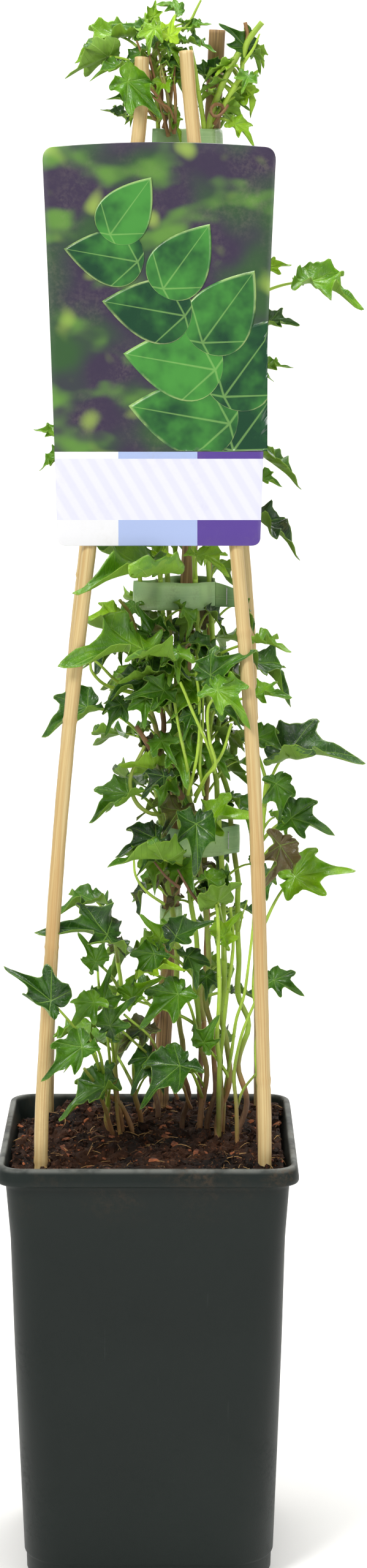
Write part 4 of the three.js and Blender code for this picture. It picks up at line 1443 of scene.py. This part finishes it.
def make_leaf_face(name, vein_colour, pale, rough, shine, coat, relief, blisters, strength):
    """One face of the blades. Relief tells how high its main veins, side veins and net stand."""
    material, s, surface = new_material(name)
    place = s.place()
    veins = add_veins(s)
    colour, broad = leaf_colour(s, place, veins, vein_colour)
    s.set(surface, {"Base Color": s.mix(pale, colour, rgb(122, 156, 52)),
                    "Roughness": s.math("MULTIPLY_ADD", broad, *rough), "Specular IOR Level": shine,
                    "Coat Weight": coat, "Coat Roughness": 0.18, "Subsurface Weight": 0.12,
                    "Subsurface Radius": (0.0012, 0.003, 0.0006)})
    height = s.times(s.noise(place, 260.0, 3.0), blisters)
    for vein, rise in zip(veins, relief):
        height = s.plus(height, s.times(vein, rise))
    bump(s, surface, height, strength, 0.0006)
    return material


UPPER = make_leaf_face("ivy upper face", rgb(142, 184, 70), 0.0, (0.3, 0.2), 0.42, 0.14,
                       (-1.0, -0.6, -0.25), 0.8, 0.5)
UNDER = make_leaf_face("ivy under face", rgb(176, 206, 112), 0.55, (0.2, 0.45), 0.3, 0.0,
                       (1.0, 0.6, 0.0), 0.4, 0.6)
print("leaf materials:", UPPER.name, "and", UNDER.name)

# %% [markdown]
# ## Stems and petioles
# Every stem is a bare line with a radius and an age on each point. One Geometry Nodes tree turns the
# lines into closed tubes: Mesh to Curve, then Curve to Mesh with a small circle scaled by the radius,
# then Set Material. Noise swells the tube a little. Age 0 is fresh green and age 1 is brown bark.

# %% Tube tree


def make_tube_tree():
    inputs = {"Geometry": "Geometry", "Sides": "Int", "Swelling": "Float", "Seed": "Float",
              "Material": "Material"}
    outputs = {"Geometry": "Geometry"}
    tree, s, given, out = new_group("tubes along lines", inputs, outputs, "GeometryNodeTree")
    curve = s.add("GeometryNodeMeshToCurve", {0: given["Geometry"]})
    thick = s.add("GeometryNodeInputNamedAttribute", {"Name": "thick"}, data_type="FLOAT")
    place = s.add("GeometryNodeInputPosition")
    grain = {"Vector": place.outputs[0], "W": given["Seed"], "Scale": 160.0}
    rough = s.add("ShaderNodeTexNoise", grain, noise_dimensions="4D")
    swell = s.math("MULTIPLY_ADD", s.math("SUBTRACT", rough.outputs[0], 0.5), given["Swelling"], 1.0)
    circle = s.add("GeometryNodeCurvePrimitiveCircle", {"Resolution": given["Sides"], "Radius": 1.0})
    tube = s.add("GeometryNodeCurveToMesh", {"Curve": curve.outputs[0], "Profile Curve": circle.outputs[0],
                                             "Scale": s.times(thick.outputs[0], swell), "Fill Caps": True})
    finish_tree(s, tube, given, out)
    return tree


TUBES = make_tube_tree()
print("tube tree:", len(TUBES.nodes), "nodes")

# %% [markdown]
# The photograph also shows loose twigs, a cut stub, arched shoots and dry bits among the stems.
# They are more lines for the same tree: for each stem, the points, the radius at both ends and the
# age of every twig that goes with it.

# %% Twigs of the front stem
TWIGS = {
    "ivy_front": [
        ([(-5.9, -12, 432.5), (-1.6, -12, 425.4), (2.6, -12, 418.6), (9.4, -9, 407.4),
          (17, 1, 394)], 1.2, 1.9, 0.9),
        ([(-1.6, -14, 422.6), (-8.7, -16, 406.8), (-5.9, -17, 395), (2.6, -14, 388.2),
          (12, -5, 388.5)], 0.9, 1.2, 0.35),
        ([(-7.2, -18, 366.5), (-6, -20, 357.8), (-0.5, -18, 349), (8, -8, 341)], 0.6, 0.8, 0.1),
        ([(3.2, -20, 364.9), (8.8, -21, 357.8), (16, -19, 351.5)], 0.5, 0.9, 1),
        ([(14.9, -20, 360.9), (20.4, -21, 351.5), (25.6, -18, 343.4)], 0.5, 0.8, 1),
        ([(16, -30, 457), (23.4, -30, 440), (29.2, -26, 426), (32, -20, 418),
          (33.3, -6, 408)], 0.7, 0.9, 0.1),
        ([(23.7, -22, 461), (25.8, -24, 445), (24.7, -22, 420), (20, -8, 397)], 0.7, 0.9, 0),
        ([(27.4, -18, 456), (27.4, -20, 435), (26, -18, 413), (28, -4, 396)], 0.6, 0.8, 0.1),
        ([(12.5, -22, 451), (15.5, -24, 433), (19.5, -20, 414), (21.7, -4, 396)], 0.7, 0.9, 0.2),
        ([(34.2, -24, 345), (35.5, -24, 324), (35.5, -20, 297), (34.4, -16, 273), (35.7, -14, 257),
          (35.2, -10, 213)], 0.9, 1.4, 0),
    ],
}
print("twigs of the front stem:", len(TWIGS["ivy_front"]))

# %% Twigs of the crown
TWIGS.update({
    "ivy_crown_left": [
        ([(2.4, 0, 761.3), (4.5, 2, 753.4), (6, 6, 742), (5.6, 7, 732)], 2.2, 1.5, 0.8),
        ([(3.1, -1, 769.5), (6.6, 1, 759.3), (9, 3, 749.1), (11, 5, 738.8), (8, 7, 726)], 0.6, 1, 0.75),
        ([(13.8, -1, 760.6), (12, 1, 749), (10.8, 3, 737.3), (8, 6, 726)], 0.7, 1, 0.7),
        ([(-9, 2, 746), (-2, 3, 738), (4, 5, 730)], 0.6, 0.9, 0.7),
        ([(26.3, 0, 786.9), (23.9, 1, 782.3), (21.8, 2, 778.2), (17, 2, 772)], 0.5, 0.8, 0.15),
        ([(-4.9, -8, 767.2), (1.3, -8, 752.2), (6.6, -4, 737.2), (10.4, 4, 722.2)], 0.5, 1, 0.7),
        ([(0.1, -6, 764.5), (2.5, -8, 754.5), (5.4, -6, 742.9), (9, 2, 728.6)], 0.6, 1.1, 0.8),
        ([(4.3, -4, 770.4), (6.7, -8, 757.4), (9.6, -8, 742.9), (11.7, 0, 724.2)], 0.45, 0.9, 0.55),
        ([(13.8, -6, 758.7), (13.2, -8, 748.7), (13.8, -7, 737.1), (13.2, 0, 723.3)], 0.7, 1, 0.75),
        ([(-3.1, -20, 750.9), (0.1, -18, 746.2), (5.5, -12, 740.5), (10.8, -3, 732.6)], 0.5, 0.9, 0.75),
        ([(9.6, -8, 758), (6.7, -9, 752.1), (8.4, -8, 745.8), (12, -2, 735.8)], 0.4, 0.7, 0.6),
        ([(3.1, -19, 739.9), (6.7, -14, 737.5), (10.8, -9, 735.2), (13.8, -3, 728.5)], 0.4, 0.7, 0.8),
    ],
    "ivy_crown_right": [
        ([(44.8, 2, 762.3), (37.4, 4, 747.7), (31, 8, 732), (29.2, 11, 716)], 1.6, 1.5, 0.3),
        ([(56.1, 3, 776.6), (49.3, 5, 767.9), (46.8, 6, 760)], 1.5, 1.5, 0.25),
        ([(47.8, 4, 776.6), (49, 5, 769.6), (47.5, 6, 762)], 1, 1.2, 0.7),
        ([(54.9, 2, 771.1), (51.7, 4, 763.8), (46, 6, 756)], 0.4, 1, 0.1),
        ([(21.2, -3, 764.8), (23.9, 0, 751.7), (26, 5, 738.6), (28.4, 10, 722)], 0.9, 1.4, 0.15),
        ([(39.5, 2, 736.9), (36.5, -2, 732.6), (32.9, -3, 731.3), (31.1, -2, 734.3), (33.5, 2, 737.4),
          (37.1, 6, 735.8), (33, 9, 728)], 0.7, 1, 0.85),
    ],
})
print("stems with twigs:", len(TWIGS))

# %% Twigs of the side stems
TWIGS.update({
    "ivy_left_upper": [
        ([(-28.9, -3, 464), (-28, -3, 458.5), (-21, 2, 451), (-8, 12, 446)], 0.7, 1.1, 0.2),
        ([(-27.4, -3, 464.6), (-23.4, -3, 461.5), (-16, 4, 453), (-7, 13, 448)], 0.6, 1, 0.3),
        ([(-14, -6, 495), (-8.9, 0, 486.7), (-5, 12, 472)], 0.8, 1.2, 0.55),
    ],
    "ivy_right": [
        ([(50.1, -9, 343.2), (47.6, -9, 335.4), (46, -4, 326)], 0.3, 0.5, 0.2),
        ([(53, -20, 338), (49.2, -18, 300), (44.6, -16, 283), (42.2, -12, 266), (39, -6, 240),
          (37.4, -4, 213)], 0.6, 1.1, 0.05),
        ([(53.7, -24, 294), (46.7, -22, 275), (43.4, -20, 255), (44.6, -20, 239),
          (45.3, -20, 213)], 0.7, 1.2, 0.1),
        ([(54.5, -20, 256), (48.1, -19, 247), (44.7, -18, 237)], 0.6, 0.8, 0),
    ],
    "ivy_right_upper": [
        ([(35.8, -26, 451), (29.8, -28, 444), (30.7, -27, 429), (34, -24, 415), (29, -18, 408),
          (23.5, -4, 396)], 0.7, 0.9, 0.1),
        ([(41.7, -20, 435), (37.2, -20, 420), (28.4, -14, 406), (23.5, 0, 392)], 0.7, 0.9, 0.15),
        ([(41.4, -16, 341), (42.6, -16, 322), (40.3, -12, 295), (38.2, -10, 275), (36.3, -10, 258),
          (37, -8, 239), (36, -8, 213)], 0.8, 1.2, 0.1),
    ],
    "ivy_left_low": [
        ([(-32, -30, 261), (-24.5, -10, 242), (-17.8, 9, 213)], 0.8, 1.2, 0.15),
        ([(-26, -22, 317), (-24, -20, 299), (-21.2, -14, 276), (-19.5, -6, 257), (-17, 2, 238),
          (-14.6, 6, 213)], 0.6, 1, 0.1),
    ],
    "ivy_left": [
        ([(-12, -30, 289), (0.7, -22, 275), (7.7, -12, 258), (14.8, 2, 237)], 0.6, 0.9, 0.3),
        ([(-14.4, -26, 281), (-4, -18, 269), (14.8, -6, 250), (21.7, 6, 231)], 0.6, 0.9, 0.2),
    ],
    "ivy_short": [
        ([(-23, 0, 241), (-14, 6, 232), (-6.4, 9, 213)], 1.1, 1.4, 0.2),
    ],
})
print("stems with twigs:", len(TWIGS))

# %% Lines for the tubes
LINE_GAP = 2.2
STEM_AGE = {"ivy_front": 0.3, "ivy_right": 0.25, "ivy_right_upper": 0.3, "ivy_short": 0.2, "ivy_left": 0.3,
            "ivy_left_low": 0.2, "ivy_left_upper": 0.45, "ivy_crown_right": 0.4, "ivy_crown_left": 0.6}


class Lines:
    """Collects lines of points, each with a radius in metres and an age"""

    def __init__(self):
        self.points, self.edges, self.thick, self.age = [], [], [], []

    def add(self, path, thick, age):
        first = len(self.points)
        self.points.extend(path)
        self.edges.extend((first + i, first + i + 1) for i in range(len(path) - 1))
        self.thick.extend(t * MM for t in thick)
        self.age.extend(age)

    def make(self, name, sides, swelling, seed, material):
        mesh = bpy.data.meshes.new(name)
        mesh.from_pydata([tuple(p * MM) for p in self.points], self.edges, [])
        set_value(mesh, "thick", self.thick)
        set_value(mesh, "age", self.age)
        piece = bpy.data.objects.new(name, mesh)
        bpy.context.collection.objects.link(piece)
        values = {"Sides": sides, "Swelling": swelling, "Seed": seed, "Material": material}
        return run_tree(piece, TUBES, values)


# %% Paths of stems and petioles


def wander(path, amount, seed, free=0.0):
    """Push the inner points of a path off their line, further by free where no tie is near"""
    moved = []
    for i, p in enumerate(path):
        ends = min(1, i / 3, (len(path) - 1 - i) / 3)
        tied = min(abs(p.z - (low + high) / 2) for _, _, low, high, _, _ in TIES)
        reach = ends * (amount + free * smoothstep(10, 45, tied))
        place = p * 0.045 + Vector((seed, seed, seed))
        moved.append(p + reach * Vector((noise.noise(place), noise.noise(place + Vector((9, 4, 2))), 0)))
    return moved


def aged(age, z):
    """A stem's age between 0 and 1, more in the first hand's breadth over the soil"""
    return min(1, max(0.02, age + 0.62 * (1 - smoothstep(216, 296, z))))


def add_stem(lines, name, path, rows, seed):
    roots = [row[4] for row in rows]
    thick, age = [], []
    for i, p in enumerate(path):
        share = i / (len(path) - 1)
        node = max((math.exp(-((p.z - root) / 2.2) ** 2) for root in roots), default=0)
        thick.append((1.42 - 0.4 * share ** 2) * (1 + 0.2 * node) - (0.4 if i == len(path) - 1 else 0))
        patch = noise.noise(Vector((seed, 0, p.z * 0.02)))
        age.append(aged(STEM_AGE.get(name, 0.75) - 0.3 * share + 0.5 * patch, p.z))
    lines.add(path, thick, age)


def petiole_path(path, row):
    hub, tip, azimuth, elevation, root = (Vector(v) if isinstance(v, tuple) else v for v in row[:5])
    along, _, normal = leaf_basis(hub, tip, azimuth, elevation)
    start = at_height(path, root)
    end = hub - along * 0.3 - normal * 0.35
    reach = (end - start).length
    knee = Vector(row[6]) if len(row) > 6 else (start + end) / 2 + Vector((0, 0, 0.16 * reach))
    before = end.lerp(knee, 0.5) - along * 0.12 * reach - normal * 0.05 * reach
    count = max(6, round(reach / LINE_GAP))
    return [bezier(start, start.lerp(knee, 0.66), before, end, i / count) for i in range(count + 1)]


# %% Bark finish


BARK_TONES = [(0.0, rgb(168, 200, 64)), (0.3, rgb(138, 168, 50)), (0.52, rgb(132, 134, 60)),
              (0.75, rgb(146, 106, 64)), (1.0, rgb(96, 66, 42))]


def make_stem_material():
    material, s, surface = new_material("ivy stem")
    place = s.place()
    age = s.value("age")
    fibres = s.noise(s.stretch(place, (900, 900, 60)), 1.0, 3.0, 0.7)
    blotch = s.noise(place, 90.0, 4.0)
    older = s.plus(age, s.math("MULTIPLY_ADD", blotch, 0.5, -0.25))
    colour = colour_steps(s, older, BARK_TONES)
    colour = s.mix(s.times(s.ramp(fibres, 0.5, 0.75), 0.22), colour, rgb(178, 172, 112))
    specks = s.times(s.ramp(s.noise(place, 700.0, 2.0), 0.66, 0.72), 0.5)
    colour = s.mix(specks, colour, rgb(70, 50, 34))
    s.set(surface, {"Base Color": colour, "Roughness": s.math("MULTIPLY_ADD", age, 0.25, 0.4)})
    bump(s, surface, s.plus(fibres, s.noise(place, 500.0)), 0.5, 0.0004)
    return material


STEM = make_stem_material()
print("bark material:", STEM.name)

# %% [markdown]
# The heart of the plant is packed with small leaves that no one would place by hand. Each tuft is a
# rule for one stretch of a stem: the heights of its roots, how many leaves, the azimuth they turn to
# and its spread, how far out and up the stalks reach, the blade's length and its tone.

# %% Small leaves between
# The tufts on 5 mm stalks with tones of 0.24 or 0.28 sit deep inside the bundle; their dark tone is painted
# shade.
TUFTS = {
    "ivy_crown_left": [(728, 772, 20, -10, 150, 9, 5, 12, 0.66), (510, 706, 9, -50, 80, 13, 9, 18, 0.5)],
    "ivy_crown_right": [(728, 760, 12, 20, 150, 8, 5, 12, 0.65), (510, 700, 7, 60, 80, 12, 9, 18, 0.5)],
    "ivy_right_upper": [(340, 360, 2, 30, 70, 14, 8, 18, 0.5), (382, 484, 8, 30, 65, 11, 9, 16, 0.38),
                        (382, 484, 6, -20, 150, 5, 6, 15, 0.28),
                        (508, 640, 6, 10, 80, 10, 9, 17, 0.55)],
    "ivy_right": [(345, 395, 2, 40, 100, 8, 9, 13, 0.5)],
    "ivy_front": [(336, 360, 4, 0, 80, 13, 8, 17, 0.36), (381, 484, 13, 0, 80, 14, 9, 18, 0.4),
                  (381, 400, 3, 5, 45, 18, 60, 16, 0.7), (240, 300, 2, 0, 80, 11, 14, 14, 0.6),
                  (381, 484, 8, 0, 170, 5, 6, 15, 0.28), (338, 358, 3, -20, 80, 7, 2, 13, 0.02)],
    "ivy_left_upper": [(336, 360, 2, -30, 70, 13, 8, 17, 0.4), (381, 400, 2, 10, 60, 8, 9, 15, 0.35),
                       (432, 484, 7, -30, 75, 13, 9, 17, 0.4), (381, 484, 6, 20, 150, 5, 6, 15, 0.28)],
    "ivy_left": [(270, 316, 1, 20, 60, 9, 10, 14, 0.4)],
    "ivy_left_low": [(228, 246, 1, -20, 100, 11, 12, 13, 0.6)],
    "ivy_short": [(228, 266, 1, 10, 110, 10, 10, 13, 0.5)],
    "ivy_back_left": [(240, 312, 2, -140, 50, 11, 9, 17, 0.45), (381, 690, 12, -120, 70, 12, 9, 18, 0.45),
                      (336, 360, 3, 20, 120, 5, 6, 16, 0.24), (381, 484, 8, 20, 120, 5, 6, 17, 0.24)],
    "ivy_back_right": [(270, 350, 2, 140, 50, 11, 9, 17, 0.45), (381, 560, 7, 140, 50, 12, 9, 18, 0.42),
                       (336, 360, 3, -20, 120, 5, 6, 16, 0.24), (381, 484, 8, -20, 120, 5, 6, 17, 0.24)],
}


def tuft_leaves(path, tuft, draw):
    low, high, count, azimuth, spread, stalk, rise, length, tone = tuft
    rows = []
    for i in range(count):
        root = low + (high - low) * (i + next(draw)) / count
        turn = azimuth + spread * (2 * next(draw) - 1)
        hub = at_height(path, root) + facing(turn, 0) * stalk * (0.6 + 0.8 * next(draw))
        hub.z += rise * (0.6 + 0.8 * next(draw))
        heading = facing(turn + 120 * (next(draw) - 0.5), -10 - 50 * next(draw))
        tip = hub + heading * length * (0.75 + 0.5 * next(draw))
        rows.append((hub, tip, turn, 25 + 50 * next(draw), root, tone + 0.6 * (next(draw) - 0.5)))
    return rows


print("small leaves:", sum(tuft[2] for tufts in TUFTS.values() for tuft in tufts))

# %% [markdown]
# Now every stem gets its pieces: the tube of the stem and its twigs, the petioles and the blades.
# Short aerial roots are scattered over the stems with the same tree as the peat's litter. Some
# blades are half folded, as the photograph shows, and show their paler underside.

# %% Grow the ivy
ROOTLET_DENSITY = 2600.0
STEM_SIDES, PETIOLE_SIDES, INNER_SIDES = 10, 7, 6
PETIOLE_RADIUS, INNER_RADIUS = 0.95, 0.75
FOLDS = {
    "ivy_crown_left": {0: 1.3, 1: 0.8, 9: 1.2}, "ivy_right_upper": {9: -0.6},
    "ivy_right": {1: -1.3, 3: -0.2, 4: -0.3, 6: 0.3},
    "ivy_front": {0: 1, 3: 1.2, 4: 0, 12: 0.8, 14: 1.1}, "ivy_left_upper": {5: 1.1},
    "ivy_left": {0: 0.3, 1: 1.2}, "ivy_left_low": {0: 1.3, 1: 0.8},
}


def make_rootlets(name, stem, seed):
    """Short brown roots that stand out of a stem's bark"""
    strand = fibre_shape("rootlet", 0.1)
    sprigs = stem.copy()
    sprigs.data = stem.data.copy()
    bpy.context.collection.objects.link(sprigs)
    values = {"Shape": strand, "Density": ROOTLET_DENSITY, "Smallest": 0.0022, "Largest": 0.0046,
              "Tumble": 2.0, "Material": STEM, "Seed": seed}
    sprigs = run_tree(sprigs, SCATTER, values)
    sprigs.name = name + "_rootlets"
    bpy.data.objects.remove(strand)
    set_value(sprigs.data, "age", [0.9] * len(sprigs.data.vertices))
    return finish_piece(sprigs, "ivy")


def add_petiole(lines, path, row, radius, draw):
    line = petiole_path(path, row)
    count = len(line) - 1
    thick = [radius * (1 - 0.37 * i / count + 0.26 * math.exp(-i)) for i in range(count + 1)]
    old = 0.02 + 0.3 * next(draw)
    lines.add(line, thick, [old + 0.2 * (1 - i / count) ** 3 for i in range(count + 1)])


def grow(name, path, rows, seed):
    stems, stalks, sheet = Lines(), Lines(), LeafSheet()
    draw = seeded(100 + 37 * seed)
    add_stem(stems, name, path, rows, seed)
    for points, start, end, age in TWIGS.get(name, []):
        twig = wander(even_path(points, LINE_GAP), 0.7, seed + 5)
        count = len(twig) - 1
        thick = [start + (end - start) * i / count for i in range(count + 1)]
        stems.add(twig, thick, [aged(age, p.z) for p in twig])
    for number, row in enumerate(rows):
        add_petiole(stalks, path, row, PETIOLE_RADIUS, draw)
        chance = next(draw)
        fold = FOLDS.get(name, {}).get(number, 0.7 if chance < 0.3 else -0.6 if chance > 0.8 else 0)
        tone = row[5] if row[5] < 0.1 else row[5] + 0.24 * (next(draw) - 0.4)
        sheet.add_leaf(Vector(row[0]), Vector(row[1]), row[2], row[3], tone, draw, fold)
    stem = stems.make(name + "_stem", STEM_SIDES, 0.5, float(seed), STEM)
    make_rootlets(name, stem, seed)
    petioles = stalks.make(name + "_petioles", PETIOLE_SIDES, 0.2, float(seed), STEM)
    leaves = sheet.make(name + "_leaves", [UPPER, UNDER])
    finish_piece(stem, "ivy")
    finish_piece(petioles, "ivy")
    finish_piece(leaves, "ivy", name)


def fill_in(name, path, seed):
    """The small leaves between a stem's main ones, and their petioles"""
    stalks, sheet = Lines(), LeafSheet(SMALL_MARGIN, SMALL_RINGS)
    draw = seeded(500 + 41 * seed)
    for tuft in TUFTS[name]:
        for row in tuft_leaves(path, tuft, draw):
            add_petiole(stalks, path, row, INNER_RADIUS, draw)
            fold = next(draw) - 0.4
            sheet.add_leaf(row[0], row[1], row[2], row[3], row[5], draw, fold)
    petioles = stalks.make(name + "_inner_petioles", INNER_SIDES, 0.2, float(seed), STEM)
    finish_piece(petioles, "ivy")
    finish_piece(sheet.make(name + "_inner_leaves", [UPPER, UNDER]), "ivy")


for number, (name, path, rows) in enumerate(all_stems()):
    bent = wander(path, 0.8, number, free=6.0)
    grow(name, bent, rows, number)
    fill_in(name, bent, number)

# %% [markdown]
# ## Label
# The card leans on the two front canes. Its outline is the solid's, rounded a little at the edge,
# and its UV is the place on the card in metres. The print is a soft leafy blur behind a printed twig of
# oval leaves, which are thin films on the card, over plain bands of lilac, blue and violet.

# %% Label card
LABEL_TOP = {"left": -50.3, "right": 62.4, "y": -20.4, "z": 716.4, "round": 6.6}
LABEL_FOOT = {"left": -43.5, "right": 55.2, "y": -42.6, "z": 525.3, "round": 4.6}
LABEL_CROWN = 2.1
LABEL_WAIST = 0.8
LABEL_THICKNESS = 0.8
LABEL_HEIGHT = math.hypot(LABEL_TOP["z"] - LABEL_FOOT["z"], LABEL_TOP["y"] - LABEL_FOOT["y"])
LABEL_UP = Vector((0, LABEL_TOP["y"] - LABEL_FOOT["y"], LABEL_TOP["z"] - LABEL_FOOT["z"])).normalized()
LABEL_FORWARD = Vector((1, 0, 0)).cross(LABEL_UP)
LABEL_PLACE = Vector((0, LABEL_FOOT["y"] + LABEL_THICKNESS / 2, LABEL_FOOT["z"]))
CURVE_STEPS = 8
FOOT_STEPS = 12
LONG_STEPS = 24
CROWN_STEPS = 16


def label_outline():
    """The card in its own plane, anticlockwise from the foot's left: each row bends past a knee"""
    top, foot, high = LABEL_TOP, LABEL_FOOT, LABEL_HEIGHT
    left = (top["left"] + foot["left"]) / 2 + LABEL_WAIST
    right = (top["right"] + foot["right"]) / 2 - LABEL_WAIST
    crown = ((top["left"] + top["right"]) / 2, high + 2 * LABEL_CROWN)
    chain = [
        (None, (foot["right"] - foot["round"], 0), FOOT_STEPS),
        ((foot["right"], 0), (foot["right"], foot["round"]), CURVE_STEPS),
        ((right, high / 2), (top["right"], high - top["round"]), LONG_STEPS),
        ((top["right"], high), (top["right"] - top["round"], high), CURVE_STEPS),
        (crown, (top["left"] + top["round"], high), CROWN_STEPS),
        ((top["left"], high), (top["left"], high - top["round"]), CURVE_STEPS),
        ((left, high / 2), (foot["left"], foot["round"]), LONG_STEPS),
        ((foot["left"], 0), (foot["left"] + foot["round"], 0), CURVE_STEPS),
    ]
    outline, at = [], Vector((foot["left"] + foot["round"], 0))
    for knee, end, steps in chain:
        end = Vector(end)
        knee = (at + end) / 2 if knee is None else Vector(knee)
        for i in range(steps):
            t = i / steps
            outline.append((1 - t) ** 2 * at + 2 * (1 - t) * t * knee + t * t * end)
        at = end
    return outline


def on_label(x, y, forward):
    return (LABEL_PLACE + Vector((x, 0, 0)) + LABEL_UP * y + LABEL_FORWARD * forward) * MM


def make_label(material):
    outline = label_outline()
    middle = Vector(((LABEL_TOP["left"] + LABEL_TOP["right"]) / 2, LABEL_HEIGHT / 2))
    rings, uv = [], []
    shape = [(0.2, 0), (0.6, 0), (0.94, 0), (0.996, 0.02), (1, 0.15), (1, 0.65), (0.996, 0.78), (0.94, 0.8),
             (0.6, 0.8), (0.2, 0.8)]
    for reach, forward in shape:
        flat = [middle + (p - middle) * reach for p in outline]
        rings.append([on_label(p.x, p.y, forward) for p in flat])
        uv.extend((p.x * MM, p.y * MM) for p in flat)
    points, faces = closed_stack(rings)
    card = new_object("label_card", points, faces, [material])
    set_uv(card.data, uv + [tuple(middle * MM)] * 2)
    half = len(shape) // 2 * len(outline)
    set_value(card.data, "front", [0.0] * half + [1.0] * half + [0.0, 1.0])
    finish_piece(card, "label_card", "label")


print("label is", round(LABEL_HEIGHT), "mm high and has", len(label_outline()), "points on its edge")

# %% Label print
PICTURE_LOW = 0.0455
BAND_LOW = 0.0125
BAND_HIGH = 0.0421
BLUE_FROM = -0.0138
VIOLET_FROM = 0.0245


def make_label_print():
    material, s, surface = new_material("label print")
    uv = s.uv()
    x, y = s.split(uv)[:2]
    far = s.noise(uv, 26.0, 1.0)
    near = s.noise(s.stretch(uv, (34, 52, 1)), 1.0, 2.0, 0.4)
    glow = s.noise(s.stretch(uv, (60, 60, 1)), 1.0, 0.0)
    picture = s.mix(s.ramp(far, 0.42, 0.66), rgb(50, 40, 62), rgb(44, 78, 40))
    picture = s.mix(s.ramp(near, 0.5, 0.7), picture, rgb(86, 128, 52))
    picture = s.mix(s.times(s.ramp(glow, 0.6, 0.8), 0.7), picture, rgb(150, 178, 72))
    stripes = s.math("SINE", s.times(s.plus(x, s.times(y, 0.6)), 760.0))
    pale = s.mix(s.ramp(stripes, -0.6, 0.6), rgb(203, 203, 220), rgb(210, 210, 223))
    columns = s.mix(s.math("GREATER_THAN", x, BLUE_FROM), rgb(214, 214, 216), rgb(156, 171, 208))
    columns = s.mix(s.math("GREATER_THAN", x, VIOLET_FROM), columns, rgb(80, 57, 134))
    band = s.times(s.math("GREATER_THAN", y, BAND_LOW), s.math("LESS_THAN", y, BAND_HIGH))
    print_colour = s.mix(band, columns, pale)
    print_colour = s.mix(s.math("GREATER_THAN", y, PICTURE_LOW), print_colour, picture)
    front = s.math("GREATER_THAN", s.value("front"), 0.5)
    colour = s.mix(front, rgb(246, 246, 244), print_colour)
    place = s.place()
    grain, dirt = dusty(s, place, 700.0, 30.0, 0.15)
    s.set(surface, {"Base Color": s.mix(dirt, colour, rgb(150, 140, 120)),
                    "Roughness": s.math("MULTIPLY_ADD", grain, 0.12, 0.26)})
    bump(s, surface, grain, 0.12, 0.0002)
    return material


# %% Printed leaves


def make_print_leaf():
    """A leaf as printed: deep green, a soft midrib and a pale edge"""
    material, s, surface = new_material("printed leaf")
    main = add_veins(s)[0]
    place = s.place()
    rim = s.value("rim")
    light = s.value("tone")
    cloud = s.plus(s.math("MULTIPLY_ADD", s.noise(place, 60.0, 3.0), 1.6, -0.8), light)
    colour = s.mix(s.ramp(cloud, 0.1, 0.9), rgb(14, 58, 34), rgb(62, 132, 50))
    colour = s.mix(s.times(main, 0.45), colour, rgb(132, 176, 96))
    edge = s.times(s.ramp(rim, 0.94, 0.99), s.ramp(s.noise(place, 70.0), 0.4, 0.6))
    edge = s.times(edge, 0.6)
    s.set(surface, {"Base Color": s.mix(edge, colour, rgb(172, 198, 118)),
                    "Roughness": s.math("MULTIPLY_ADD", cloud, 0.08, 0.26)})
    return material


SPRIG_LEAVES = 9
PICTURE_LEFT, PICTURE_RIGHT = -40.5, 58.5
PICTURE_FOOT, PICTURE_TOP = 46, 186.5
OVAL_STEPS = 48
FILM = 0.07


def printed_sprig():
    """Base, tip and lightness of the leaves on one bent twig, by turns left and right"""
    for i in range(SPRIG_LEAVES):
        t = i / (SPRIG_LEAVES - 1)
        hub = Vector((42 - 62 * t + 16 * math.sin(3 * t), 46 + 104 * t))
        turn = math.radians(112 + (58 if i % 2 else -58))
        reach = 52 - 18 * t
        yield hub, hub + reach * Vector((math.cos(turn), math.sin(turn))), 0.15 + 0.6 * ((i * GOLDEN) % 1)


def oval_margin():
    """An oval leaf with a point at its tip, its base just behind the hub"""
    turns = (2 * math.pi * i / OVAL_STEPS for i in range(OVAL_STEPS))
    return [(Vector((0.46 + 0.54 * math.cos(a), 0.5 * math.sin(a) * math.sin(a / 2))), 0, 0) for a in turns]


def inside(x, y):
    return min(max(x, PICTURE_LEFT), PICTURE_RIGHT), min(max(y, PICTURE_FOOT), PICTURE_TOP)


def make_printed_leaves(materials):
    """Flat leaves cut off at the picture's edge, each a little further forward than the last"""
    margin = oval_margin()
    for number, (hub, tip, tone) in enumerate(printed_sprig()):
        along = tip - hub
        across = Vector((-along.y, along.x))
        front, flat = LABEL_THICKNESS + 0.02 + 0.05 * number, []
        for ring in LEAF_RINGS:
            for p, _, _ in margin:
                place = hub + (along * p.x + across * p.y) * ring
                flat.append((*inside(*place), p * ring, ring))
        sheet = LeafSheet(margin)
        for offset in (front, front - FILM):
            sheet.points.append(on_label(*inside(*hub), offset) / MM)
            sheet.plane.append((0, 0))
            sheet.rim.append(0.0)
            for x, y, plane, ring in flat:
                sheet.points.append(on_label(x, y, offset) / MM)
                sheet.plane.append(tuple(plane))
                sheet.rim.append(ring)
        sheet.tone = [tone] * len(sheet.points)
        sheet.join_sides(0, len(sheet.points) // 2)
        finish_piece(sheet.make("printed_leaf_%d" % (number + 1), materials), "label_card")


make_label(make_label_print())
make_printed_leaves([make_print_leaf()] * 2)
